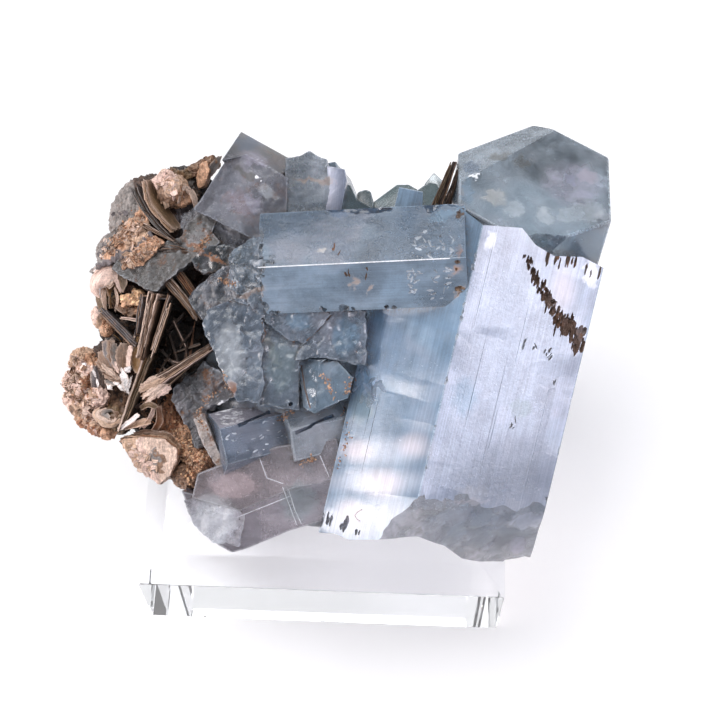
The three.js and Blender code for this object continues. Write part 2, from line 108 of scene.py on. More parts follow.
def softbox(name, direction, distance, spread, radiance, colour=(1, 1, 1)):
    """A rectangular light that shines on the specimen. Its spread is two angles seen from there."""
    data = bpy.data.lights.new(name, "AREA")
    data.shape = "RECTANGLE"
    data.size, data.size_y = (2 * distance * math.tan(math.radians(a / 2)) for a in spread)
    data.energy = radiance * math.pi * data.size * data.size_y
    data.color = colour
    light = bpy.data.objects.new(name, data)
    bpy.context.scene.collection.objects.link(light)
    turned = direction.to_track_quat("Z", "Y").to_matrix().to_4x4()
    light.matrix_world = Matrix.Translation(AIM + direction * distance) @ turned
    return light


def add_studio():
    bpy.context.scene.view_settings.view_transform = "Standard"
    world = bpy.data.worlds.new("studio")
    bpy.context.scene.world = world
    world.use_nodes = True
    background = world.node_tree.nodes["Background"]
    background.inputs["Color"].default_value = (0.92, 0.95, 1, 1)
    background.inputs["Strength"].default_value = 0.4
    softbox("overhead", heading(-40, 66), 0.9, (42, 42), 4.4)
    softbox("right_sheen", heading(108, 26.5), 0.7, (25.4, 17), 13, (0.95, 0.91, 1))
    softbox("left_sheen", heading(-109.5, 13.5), 0.7, (23.2, 20), 14, (1, 0.93, 0.92))


def add_floor():
    bpy.ops.mesh.primitive_plane_add(size=8, location=(0, 0, -0.00005))
    floor = bpy.context.object
    floor.name = "floor"
    material = bpy.data.materials.new("pale_floor")
    material.use_nodes = True
    shader = material.node_tree.nodes["Principled BSDF"]
    shader.inputs["Base Color"].default_value = (0.9, 0.9, 0.9, 1)
    shader.inputs["Roughness"].default_value = 0.8
    floor.data.materials.append(material)


add_camera()
add_studio()
add_floor()


# ------------------------------------------------------------------ modelling tools


def deselect():
    bpy.ops.object.select_all(action="DESELECT")


def only(piece):
    """Makes a piece the one that operators act on."""
    deselect()
    piece.select_set(True)
    bpy.context.view_layer.objects.active = piece


def added(name):
    """Names the primitive that was just added."""
    piece = bpy.context.object
    piece.name = name
    piece.data.name = name
    return piece


def settle(piece, matrix):
    """Puts a matrix into the piece's own mesh, so that the object stays at the origin."""
    piece.matrix_world = matrix @ piece.matrix_world
    only(piece)
    bpy.ops.object.transform_apply(location=True, rotation=True, scale=True)


def apply_modifiers(piece):
    only(piece)
    for modifier in list(piece.modifiers):
        bpy.ops.object.modifier_apply(modifier=modifier.name)


def stand_matrix(at, lean=0, rise=0):
    """Stands local Z along an axis.

    Lean is its angle from Y towards X, and rise its angle out of the display side.
    """
    l, r = math.radians(lean), math.radians(rise)
    axis = Vector((math.sin(l) * math.cos(r), math.cos(l) * math.cos(r), math.sin(r)))
    out = (Vector((0, 0, 1)) - axis * math.sin(r)).normalized()
    across = axis.cross(out)
    turned = Matrix((across, -out, axis)).transposed().to_4x4()
    return Matrix.Translation(at) @ turned


def bevel_edges(piece, width, segments=2):
    """Rounds every edge. The new faces take the piece's last material."""
    only(piece)
    bpy.ops.object.mode_set(mode="EDIT")
    bpy.ops.mesh.select_all(action="SELECT")
    last = len(piece.data.materials) - 1
    bpy.ops.mesh.bevel(offset=width, segments=segments, affect="EDGES", material=last)
    bpy.ops.object.mode_set(mode="OBJECT")


def bisect_off(point, normal):
    """In edit mode: cuts off what lies beyond a plane and closes the cut with a face."""
    bpy.ops.mesh.select_all(action="SELECT")
    bpy.ops.mesh.bisect(plane_co=point, plane_no=normal, use_fill=True, clear_outer=True)


def in_order(piece):
    """Puts vertices and faces in the order of their places. Extruding leaves them in a chance order."""
    mesh = piece.data
    order = sorted(range(len(mesh.vertices)), key=lambda k: tuple(mesh.vertices[k].co))
    places = [tuple(mesh.vertices[k].co) for k in order]
    rank = {old: new for new, old in enumerate(order)}
    rings = []
    for face in mesh.polygons:
        ring = [rank[k] for k in face.vertices]
        first = ring.index(min(ring))
        rings.append(ring[first:] + ring[:first])
    mesh.clear_geometry()
    mesh.from_pydata(places, [], sorted(rings))


def thickened(piece, depth):
    """Gives a flat piece a depth along Z, with its faces pointing out."""
    only(piece)
    bpy.ops.object.mode_set(mode="EDIT")
    bpy.ops.mesh.select_all(action="SELECT")
    bpy.ops.mesh.extrude_region_move(TRANSFORM_OT_translate={"value": (0, 0, depth)})
    bpy.ops.mesh.select_all(action="SELECT")
    bpy.ops.mesh.normals_make_consistent(inside=False)
    bpy.ops.object.mode_set(mode="OBJECT")
    in_order(piece)
    return piece


def middle_of(outline):
    return sum((Vector(p) for p in outline), Vector((0, 0))) / len(outline)


def slab(outline, level, depth, slope=(0, 0)):
    """A plain block with a many-sided face, which follows the plane z = level + slope x and y."""
    bpy.ops.mesh.primitive_circle_add(vertices=len(outline), radius=1, fill_type="NGON")
    piece = added("slab")
    middle = middle_of(outline)
    for vertex, (x, y) in zip(piece.data.vertices, outline):
        vertex.co = (x, y, level + slope[0] * (x - middle.x) + slope[1] * (y - middle.y))
    return thickened(piece, -depth)


def seed_shift(seed):
    """How far a seed moves the noise."""
    return Vector((7.3 * seed, 3.1 * seed, 5.7 * seed))


# ------------------------------------------------------------------ crystal shapes

ZONES = {}
FACE_BAND = 2.4  # long crystal faces are divided into bands this high, which keeps their cuts clean


def zone(name, matrix):
    """A region of the cluster with its own finish. Its matrix gives the direction of its grain."""
    mark = bpy.data.materials.new("zone_" + name)
    ZONES[mark.name] = {"name": name, "inverse": matrix.inverted()}
    return mark


def stand_of(spec):
    return stand_matrix(spec["at"], spec["lean"], spec.get("rise", 0))


def on_face(spec, across, up):
    """A place on one of a crystal's two front faces, with local X across the face and Z up it.

    Across is measured from the front ridge and is negative on the face to the left.
    """
    turn = math.radians(spec["turn"] - (60 if across < 0 else 0))
    place = Vector((across * math.cos(turn), across * math.sin(turn), up))
    return stand_of(spec) @ Matrix.Translation(place) @ Matrix.Rotation(turn, 4, "Z")


def crystal(name, at, lean, turn, sides, start, end, rise=0, wear=EDGE_WEAR):
    """A six-sided beryl prism whose front ridge passes through at. All its corners are 120 degrees."""
    first, second, third, last = sides
    lengths = [first, second, third, first - third + last, second + third - last, last]
    bpy.ops.mesh.primitive_cube_add(size=120)
    piece = added(name)
    bpy.ops.object.mode_set(mode="EDIT")
    corner = Vector((0, 0, 0))
    for k, length in enumerate(lengths):
        angle = math.radians(turn + 60 * k)
        bisect_off(corner, (math.sin(angle), -math.cos(angle), 0))
        corner = corner + length * Vector((math.cos(angle), math.sin(angle), 0))
    bisect_off((0, 0, end), (0, 0, 1))
    bisect_off((0, 0, start), (0, 0, -1))
    bpy.ops.object.mode_set(mode="OBJECT")
    matrix = stand_matrix(at, lean, rise)
    piece.data.materials.append(zone(name, matrix))
    piece.data.materials.append(zone(name + "_edge", matrix))
    bevel_edges(piece, wear)
    bpy.ops.object.mode_set(mode="EDIT")
    for k in range(1, int((end - start) / FACE_BAND)):
        bpy.ops.mesh.select_all(action="SELECT")
        bpy.ops.mesh.bisect(plane_co=(0, 0, start + k * FACE_BAND), plane_no=(0, 0, 1))
    bpy.ops.object.mode_set(mode="OBJECT")
    settle(piece, matrix)
    return piece


def marked(piece, name, matrix, direction, reach=0.6):
    """Gives the faces that look in a direction, in the matrix's own axes, a zone of their own."""
    piece.data.materials.append(zone(name, matrix))
    way = (matrix.to_3x3() @ Vector(direction)).normalized()
    for face in piece.data.polygons:
        if face.normal.dot(way) > reach and face.material_index == 0:
            face.material_index = len(piece.data.materials) - 1


def block(name, outline, level, depth, slope=(0, 0), wear=EDGE_WEAR, lean=0):
    """A crystal known by its many-sided face. Its edges are a little worn."""
    piece = slab(outline, level, depth, slope)
    matrix = stand_matrix((*middle_of(outline), level), lean)
    piece.data.materials.append(zone(name, matrix))
    if wear:
        piece.data.materials.append(zone(name + "_edge", matrix))
        bevel_edges(piece, wear)
    return piece


def uneven(piece, coarse, fine, scale, seed):
    """Moves each vertex along its normal by a coarse and a fine share of a natural noise."""
    shift = seed_shift(seed)
    mesh = piece.data
    moves = []
    for vertex in mesh.vertices:
        place = vertex.co / scale + shift
        broad = noise.noise(place)
        cells = noise.cell(place * 1.7)
        small = noise.noise(place * 3.7)
        moves.append(vertex.normal * (coarse * (broad + 0.25 * cells) + fine * small))
    for vertex, move in zip(mesh.vertices, moves):
        vertex.co += move


def boulder(name, at, size, seed, turn=0, detail=4, coarse=0.6, fine=0.2, scale=2.4):
    """A rough lump inside an ellipsoid."""
    bpy.ops.mesh.primitive_ico_sphere_add(subdivisions=detail, radius=1)
    piece = added(name)
    shape = Matrix.Diagonal((size[0] / 2, size[1] / 2, size[2] / 2, 1))
    matrix = Matrix.Translation(at) @ Matrix.Rotation(math.radians(turn), 4, "Z")
    settle(piece, matrix @ shape)
    uneven(piece, coarse, fine, scale, seed)
    piece.data.materials.append(zone(name, matrix))
    return piece


def bite(matrix, size, mark, seed, rough=0.2, detail=2):
    """A small hollow to cut out. Its local Z is its long way and its local Y its depth."""
    bpy.ops.mesh.primitive_ico_sphere_add(subdivisions=detail, radius=0.5)
    piece = added("bite")
    settle(piece, Matrix.Diagonal((*size, 1)))
    uneven(piece, rough * min(size), 0.5 * rough * min(size), 0.6 * max(size[0], 0.5), seed)
    settle(piece, matrix)
    piece.data.materials.append(mark)
    return piece


def bites(name, spec, places, size, seed, count, rough=0.2, skew=0):
    """Hollows of chance sizes on a crystal's face. Each place is a centre and a spread, across and up."""
    chance = random.Random(seed)
    mark = zone(name, stand_of(spec))
    hollows = []
    for k in range(count):
        across, up, wide, tall = chance.choice(places)
        place = on_face(spec, across + wide * chance.uniform(-1, 1), up + tall * chance.uniform(-1, 1))
        turn = Matrix.Rotation(math.radians(skew * chance.uniform(-1, 1)), 4, "Y")
        low, high = size
        measured = [chance.uniform(a, b) for a, b in zip(low, high)]
        hollows.append(bite(place @ turn, measured, mark, seed + k, rough))
    return hollows


def break_cutter(name, through, lean, rise, size, bumps, scale, seed, cuts=70, fine=0.25):
    """What a break takes away: all beyond a bumpy plane through a point."""
    bpy.ops.mesh.primitive_grid_add(x_subdivisions=cuts, y_subdivisions=cuts, size=size)
    piece = added(name)
    shift = seed_shift(seed)
    for vertex in piece.data.vertices:
        place = Vector((vertex.co.x, vertex.co.y, 0)) / scale + shift
        ledges = round(2.5 * noise.noise(place * 0.7)) / 2.5
        vertex.co.z = bumps * (0.7 * noise.noise(place) + 0.5 * ledges + fine * noise.noise(place * 4))
    thickened(piece, size / 2)
    matrix = stand_matrix(through, lean, rise)
    settle(piece, matrix)
    mark = zone(name, matrix)
    ZONES[mark.name]["broken"] = True
    piece.data.materials.append(mark)
    return piece


def trim(name, outline):
    """A deep block along an outline, for cutting with."""
    return block(name, outline, level=45, depth=90, wear=0)


def boolean(piece, others, operation):
    """Cuts or joins a piece with all of the others at once, and uses them up."""
    used = bpy.data.collections.new("used")
    for other in others:
        used.objects.link(other)
    modifier = piece.modifiers.new(operation, "BOOLEAN")
    modifier.operation = operation
    modifier.operand_type = "COLLECTION"
    modifier.collection = used
    modifier.solver = "MANIFOLD"
    modifier.material_mode = "TRANSFER"
    apply_modifiers(piece)
    for other in others:
        mesh = other.data
        bpy.data.objects.remove(other)
        bpy.data.meshes.remove(mesh)
    bpy.data.collections.remove(used)
    return piece


def cut(piece, *cutters):
    return boolean(piece, cutters, "DIFFERENCE")


def unite(piece, others):
    return boolean(piece, others, "UNION")


def lump(at, size, turn=0):
    """A plain rounded lump, to be fused with others."""
    bpy.ops.mesh.primitive_ico_sphere_add(subdivisions=3, radius=0.5)
    piece = added("lump")
    turned = Matrix.Translation(at) @ Matrix.Rotation(math.radians(turn), 4, "Z")
    settle(piece, turned @ Matrix.Diagonal((*size, 1)))
    return piece


def joined(name, pieces):
    deselect()
    for piece in pieces:
        piece.select_set(True)
    bpy.context.view_layer.objects.active = pieces[0]
    bpy.ops.object.join()
    return added(name)


def fused(pieces, grid=0.22):
    """One closed, finely divided skin around several pieces."""
    piece = joined("fused", pieces)
    piece.data.remesh_voxel_size = grid
    only(piece)
    bpy.ops.object.voxel_remesh()
    return piece


def surface_of(piece):
    """A piece's faces, ready to find where a straight line meets them."""
    mesh = piece.data
    return BVHTree.FromPolygons([v.co for v in mesh.vertices], [p.vertices for p in mesh.polygons])


def rough_block(name, pieces, seed, folds=0.4, fold_size=2.5, grit=0.05, grit_size=0.6, grid=0.24, lean=0):
    """Several plain pieces as one broken mass: its faces are split into uneven ledges."""
    piece = fused(pieces, grid)
    shift = seed_shift(seed)
    mesh = piece.data
    moved = []
    for vertex in mesh.vertices:
        place = vertex.co / fold_size + shift
        ledges = round(3 * noise.noise(place * 0.8 + shift)) / 3
        relief = 0.7 * noise.noise(place) + 0.6 * ledges
        small = noise.noise(vertex.co / grit_size + shift) + 0.5 * noise.noise(2.3 * vertex.co / grit_size)
        aside = 0.6 * folds * noise.noise_vector(vertex.co / 0.9 + shift)
        moved.append(vertex.co + vertex.normal * (folds * relief + grit * small) + aside)
    for vertex, place in zip(mesh.vertices, moved):
        vertex.co = place
    middle = sum((v.co for v in mesh.vertices), Vector()) / len(mesh.vertices)
    mark = zone(name, stand_matrix(middle, lean))
    ZONES[mark.name]["broken"] = True
    mesh.materials.append(mark)
    return piece


def rods(name, surface, routes, radius):
    """Thin rods that lie half sunk along routes on a surface."""
    mark = zone(name, Matrix())
    made = []
    for route in routes:
        spots = [surface.ray_cast(Vector((x, y, 60)), Vector((0, 0, -1)))[0] for x, y in route]
        for first, last in zip(spots, spots[1:]):
            length = (last - first).length
            bpy.ops.mesh.primitive_cylinder_add(vertices=6, radius=radius, depth=length + radius)
            rod = added("rod")
            turned = (last - first).to_track_quat("Z", "Y").to_matrix().to_4x4()
            settle(rod, Matrix.Translation(first.lerp(last, 0.5)) @ turned)
            rod.data.materials.append(mark)
            made.append(rod)
    return made


# ------------------------------------------------------------------ the beryl crystals

MAIN = {
    "at": (16.2, 8, 26),
    "lean": 11.2,
    "rise": 3.4,
    "turn": 27,
    "sides": (19, 13.5, 16, 13.7),
    "start": -30,
    "end": 20,
}

# The rusty rift in the large prism's right face, across it and up it, from its thin to its wide end.
RIFT = [(7.3, 15), (8.3, 13.4), (9.6, 12.2), (11.2, 10.9), (12.8, 9), (14.6, 7.4), (16.6, 6.8), (18.8, 5.8)]
RIFT_HOLLOWS = 130


def rust_rift():
    """A ragged rift made of many slender hollows that lie along the grain."""
    chance = random.Random(11)
    mark = zone("rust_pit", stand_of(MAIN))
    hollows = []
    for k in range(RIFT_HOLLOWS):
        way = (k + chance.random()) / RIFT_HOLLOWS
        first = min(int(way * (len(RIFT) - 1)), len(RIFT) - 2)
        share = way * (len(RIFT) - 1) - first
        across, up = Vector(RIFT[first]).lerp(Vector(RIFT[first + 1]), share)
        grown = 0.35 + 0.75 * way
        place = on_face(MAIN, across + chance.gauss(0, 0.25), up + chance.gauss(0, 0.65 * grown))
        wide = chance.uniform(0.25, 0.95) * grown
        deep = chance.uniform(0.7, 1.6)
        tall = chance.uniform(0.7, 2.6) * grown
        hollows.append(bite(place, (wide, deep, tall), mark, k, rough=0.3))
    return hollows


def main_prism():
    piece = crystal("large_prism", wear=0.12, **MAIN)
    # The right face gets a paler, cloudier finish that paints part of the light's sheen on it.
    marked(piece, "large_prism_right", stand_of(MAIN), (0.454, -0.891, 0), reach=0.9)
    below = trim("below_prism", [
        (-6, -15.6), (2, -15.3), (4, -15.9), (8, -15.4), (13, -15.2), (16.5, -16.6), (19, -18.6),
        (22, -19.1), (28.6, -19.5), (34, -12), (34, -40), (-6, -40),
    ])
    above = trim("above_prism", [
        (12, 26.5), (16.4, 27.6), (19.6, 25), (24.7, 25), (26.6, 23), (29.1, 21.8), (33, 21.9),
        (36.2, 20.6), (45, 19), (45, 45), (12, 45),
    ])
    foot = break_cutter(
        "foot_break", (19, -13, 19), 157, 43, size=60, bumps=1.2, scale=4, seed=3, cuts=130,
        fine=0.06,
    )
    cut(piece, below, above, foot)
    grooves = bites(
        "large_prism_groove", MAIN, [(5, 0, 5, 12), (14, 0, 5, 10), (-8, -8, 7, 14)],
        ((0.04, 0.05, 6), (0.08, 0.1, 20)), seed=21, count=10, rough=0.02,
    )
    notches = bites(
        "rust_notch", MAIN, [(11.5, 15.6, 2.5, 0.8), (16, 15.2, 3, 0.6)],
        ((0.25, 0.5, 0.8), (0.5, 1, 2.4)), seed=22, count=13, rough=0.3,
    )
    teeth = bites(
        "foot_tooth", MAIN, [(-11.5, -24.5, 4.5, 0.4)],
        ((0.25, 0.8, 0.8), (0.7, 1.6, 2)), seed=23, count=12, rough=0.3,
    )
    specks = bites(
        "grey_speck", MAIN,
        [(11, 3.8, 1.2, 0.4), (13.6, 3.4, 0.8, 0.6), (15.6, 1.4, 0.3, 1.8), (11, -6.5, 0.4, 0.8)],
        ((0.15, 0.15, 0.5), (0.4, 0.4, 1.2)), seed=24, count=15, rough=0.4, skew=40,
    )
    scales = bites(
        "etched_scale", MAIN, [(-13.6, -5.5, 2, 2.6), (-10, -6.8, 1.4, 1.6)],
        ((0.3, 0.1, 1.2), (0.8, 0.3, 3)), seed=25, count=26, rough=0.3, skew=60,
    )
    edge_chips = bites(
        "edge_chip", MAIN, [(0.05, 0, 0.05, 15), (-18.6, -8, 0.2, 14), (18.9, -6, 0.1, 12)],
        ((0.2, 0.2, 0.3), (0.5, 0.5, 1.1)), seed=26, count=26, rough=0.3, skew=20,
    )
    return cut(piece, *grooves, *notches, *teeth, *specks, *scales, *edge_chips, *rust_rift())


def upper_block():
    piece = crystal(
        "upper_block", at=(26.6, 22.8, 22), lean=6.9, rise=53.1, turn=34,
        sides=(11.7, 11.7, 11.7, 11.7), start=-34, end=0, wear=0.35,
    )
    end = Vector((0.072, 0.596, 0.8))
    low, high = Vector((20, 33.5, 14.6)), Vector((26.2, 37.5, 11.1))
    back = end.cross((high - low).normalized())
    only(piece)
    bpy.ops.object.mode_set(mode="EDIT")
    bisect_off(low, end * math.cos(math.radians(22)) + back * math.sin(math.radians(22)))
    bpy.ops.object.mode_set(mode="OBJECT")
    corner = break_cutter(
        "corner_break", (31, 24.6, 20), 172, 50, size=40, bumps=0.9, scale=2.4, seed=8
    )
    return cut(piece, corner)


def middle_mass():
    """The broken mass in the middle: a frosted knob, a hollow, a slanting facet and a smooth part."""
    knob = slab([
        (-15.8, 11.7), (-15.2, 13.4), (-13.6, 14.1), (-12.3, 14.9), (-10.6, 15.2), (-9.5, 14.7),
        (-8.2, 12.6), (-7.7, 11.4), (-8.2, 9.7), (-7.7, 8.2), (-8, 6.5), (-7.6, 3.9), (-8, 1.7),
        (-10.9, 1.6), (-11.9, 3.7), (-13, 5.7), (-14.4, 8.6), (-15.5, 10.2),
    ], 22.8, 10, (0.06, 0.02))
    hollow = slab([
        (-8.6, 13), (-3.3, 11), (-2.4, 8.8), (-3.2, 7), (-3, 3.4), (-3, 0.8), (-8.6, 1.2),
    ], 21.5, 9, (-0.1, 0.03))
    facet = slab([
        (-10.4, 15.4), (-8.4, 16.7), (-6.3, 17.2), (-4.8, 16.4), (-3.4, 15.2), (-1.8, 14.3), (0.7, 13.4),
        (-0.9, 11.3), (-2.5, 9.3), (-4.5, 9.8), (-6.5, 11.1), (-8.2, 12.6),
    ], 22.9, 10, (-0.08, 0.16))
    smooth_part = slab([
        (-2.4, 14.6), (0.7, 13.8), (5.2, 14), (5.4, 7), (3.4, 7.3), (0.7, 7.7), (-1.9, 7.7), (-3.6, 7.3),
        (-3.2, 9), (-0.9, 11.3),
    ], 21.5, 9, (-0.12, 0.05))
    ridge = slab([
        (-12.4, 14.6), (-9.6, 15.6), (-6.4, 17.3), (-4.4, 16.4), (-3, 15.2), (-5.4, 15.4), (-7.6, 15.2),
        (-10, 14.2),
    ], 23.4, 6, (0.02, 0.1))
    return rough_block(
        "middle_mass", [knob, hollow, facet, smooth_part, ridge], 12, folds=0.36, fold_size=2.4, grit=0.06,
        grit_size=0.5, grid=0.22,
    )


HORIZONTAL = {
    "at": (3.8, 19.7, 27.6),
    "lean": 85.7,
    "rise": 4.6,
    "turn": 31,
    "sides": (6.8, 8, 7, 8.2),
    "start": -12.5,
    "end": 13.8,
}


def horizontal_crystal():
    """The crystal that lies across the others. Its ridge is a fine frosted white line, a painted highlight.
    """
    piece = crystal("horizontal_crystal", wear=0.12, **HORIZONTAL)
    marked(piece, "horizontal_top", stand_of(HORIZONTAL), (-1, -0.6, 0))
    broken_end = bites(
        "horizontal_step_edge", HORIZONTAL,
        [(-3.5, -12.4, 3.5, 0.2), (4, -12.4, 3.5, 0.2), (6.6, -4, 0.1, 9)],
        ((0.3, 0.3, 0.4), (1.6, 1.4, 1.4)), seed=35, count=24, rough=0.35, skew=40,
    )
    broken_end.append(break_cutter(
        "horizontal_step_end", (-7.9, 19.4, 25.5), -92, 24, size=18, bumps=1.1, scale=1.7, seed=15, cuts=60,
    ))
    chips = bites(
        "blue_chip", HORIZONTAL, [(-8.1, 0, 0.3, 4), (-8, 9, 0.3, 4)],
        ((0.9, 0.7, 1.4), (1.8, 1.3, 3.6)), seed=31, count=13, rough=0.25,
    )
    # Pale, cloudy chips that paint glints on the crystal.
    painted_glint_chips = bites(
        "clear_chip", HORIZONTAL, [(-2.4, 9.6, 2.2, 2.6), (3.6, 9.4, 2.2, 2.4), (3, 7, 1.6, 0.5)],
        ((0.08, 0.12, 0.1), (0.4, 0.4, 1.1)), seed=32, count=80, rough=0.35, skew=80,
    )
    rust = bites(
        "rust_notch_end", HORIZONTAL, [(0.8, 12.9, 1.6, 0.5), (-6.4, 13, 1, 0.5), (5, 12.7, 1.2, 0.3)],
        ((0.3, 0.3, 0.4), (0.8, 0.7, 1)), seed=33, count=14, rough=0.35,
    )
    scratches = bites(
        "rust_notch_top", HORIZONTAL, [(1.6, -1.2, 0.7, 0.3), (1.4, 1.4, 0.8, 0.3), (-2, -2.4, 0.6, 0.5)],
        ((0.5, 0.15, 0.1), (1.2, 0.25, 0.3)), seed=34, count=9, rough=0.35, skew=30,
    )
    cut(piece, *chips, *painted_glint_chips, *rust, *scratches, *broken_end)
    # A white frosted rod along the ridge, which paints the ridge's highlight.
    bpy.ops.mesh.primitive_cylinder_add(vertices=6, radius=0.07, depth=24.2, location=(0, 0.04, -0.3))
    ridge = added("frosted_ridge")
    settle(ridge, stand_of(HORIZONTAL))
    ridge.data.materials.append(zone("frosted_ridge", stand_of(HORIZONTAL)))
    return unite(piece, [ridge])


SMALL = {
    "at": (-13.3, -2, 20.5),
    "lean": -105,
    "rise": 24,
    "turn": 58,
    "sides": (4.2, 4, 4.2, 4.7),
    "start": -14,
    "end": 0,
}


def small_prism():
    piece = crystal("small_prism", wear=0.1, **SMALL)
    marked(piece, "small_prism_top", stand_of(SMALL), (0.85, -0.53, 0))
    frost = bites(
        "frosted_strip", SMALL, [(1.6, -2.4, 1.2, 1.6), (2.6, -6, 1, 5)],
        ((0.15, 0.06, 0.3), (0.5, 0.16, 1.3)), seed=41, count=34, rough=0.3, skew=40,
    )
    # These chips share the pale finish that paints glints.
    nicks = bites(
        "clear_chip_small", SMALL, [(-2.4, -3, 1.6, 2.4), (-2, -8, 1.6, 2.6)],
        ((0.08, 0.08, 0.2), (0.3, 0.2, 0.9)), seed=42, count=26, rough=0.3, skew=30,
    )
    return cut(piece, *frost, *nicks)


def small_prisms():
    return [
        horizontal_crystal(),
        small_prism(),
        crystal("beside_small_prism", (-4.2, -1.9, 19.6), -105, 40, (3.5, 4, 4.2, 4.4), -8, 0, rise=16),
        crystal("rear_left_prism", (-6, 30, 6), -24, 20, (8, 7, 8, 7), -18, 4, rise=-20),
        crystal("rear_middle_prism", (9, 25, 8), 12, 35, (7, 8, 7, 8), -16, 6, rise=-32),
    ]


def face_blocks():
    return [
        rough_block("upper_left_crystal", [slab([
            (-11.2, 34), (-5.6, 31), (-5.6, 22.9), (-9.9, 22.8), (-17.8, 26.5), (-14, 32.8),
        ], 19.5, 13, (0.06, 0.04))], 24, folds=0.16, fold_size=3, grit=0.03, lean=-30),
        block("upper_left_end", [
            (-12.5, 37.6), (-5.4, 34), (-6.5, 31.2), (-11.2, 33.8), (-14, 32.6),
        ], level=17.8, slope=(-0.8, -1.45), depth=12, wear=0.12),
        rough_block("upper_middle_crystal", [slab([
            (-6.4, 22.9), (-5.9, 33.5), (-4.2, 33.9), (-2.9, 34.7), (-2, 34), (-0.7, 33.6), (0, 30.6),
            (-1, 25.2), (-3.8, 22.9),
        ], 19.1, 12, (-0.04, 0.02))], 25, folds=0.2, fold_size=2.2, grit=0.05),
        # This facet's pale lavender tint paints the light's sheen on it.
        block("upper_middle_facet", [
            (-0.6, 32.8), (1.7, 32.6), (2, 31.2), (1.4, 27.3), (-1.2, 25.1), (-0.4, 29),
        ], level=18.2, slope=(-0.7, 0.1), depth=11, wear=0.12),
        # A crystal that lies in shadow: its near-black tint is painted shade.
        rough_block("teal_crystal", [slab([
            (-18.2, 20), (-16.3, 21.7), (-13.7, 22.1), (-11.7, 21.4), (-9.7, 22), (-8.5, 21.6), (-8.2, 19.6),
            (-12.9, 18.6), (-16.2, 18.2), (-17.6, 18.9),
        ], 18.8, 9, (0.2, 0.1))], 26, folds=0.3, fold_size=1.4, grit=0.04),
        block("behind_left", [
            (-1, 22), (1, 31.4), (2.3, 31.2), (3.3, 29.2), (6.2, 27.8), (7.4, 22),
        ], level=13, slope=(-0.3, -0.35), depth=11, wear=0.12),
        block("behind_knob", [
            (2.8, 27), (3.3, 30.4), (4.4, 30.8), (5.1, 30.5), (5.6, 28.8), (5.4, 26),
        ], level=11.4, slope=(0.1, -0.4), depth=9),
        block("behind_right", [
            (6.6, 22), (4.9, 28.6), (6.1, 29.6), (8.6, 31.6), (10.2, 31.6), (11.4, 30.9), (12, 24),
        ], level=12, slope=(0.3, -0.45), depth=12, wear=0.12),
        block("behind_end", [
            (9, 23), (10, 29.6), (12.2, 31.4), (13.1, 31.9), (13.9, 31.8), (15.2, 30.4), (17, 24),
        ], level=12.6, slope=(-0.2, -0.35), depth=12, wear=0.12),
        block("clear_tip", [
            (11.9, 29), (12.4, 32), (13.6, 33.6), (14.9, 32.4), (15, 29),
        ], level=9.6, slope=(0.1, -0.3), depth=8, wear=0.12),
        block("clear_upper_crystal", [
            (-16.3, -8.1), (-13, -6.7), (-5.8, -4.1), (1.9, -2.8), (3, -8.5), (-3.4, -9.6), (-10.6, -13),
            (-17, -11.4),
        ], level=17.4, slope=(-0.1, 0.18), depth=9, lean=-105),
        block("clear_lower_crystal", [
            (-18.5, -10.5), (-10.6, -12.4), (-3.4, -9.4), (2.4, -7.8), (0.6, -13.9), (-3.8, -15.3),
            (-9.7, -18), (-11.6, -18.6), (-13.5, -17.6), (-16.2, -15.6),
        ], level=16.4, slope=(-0.05, 0.1), depth=8, lean=-105),
    ]


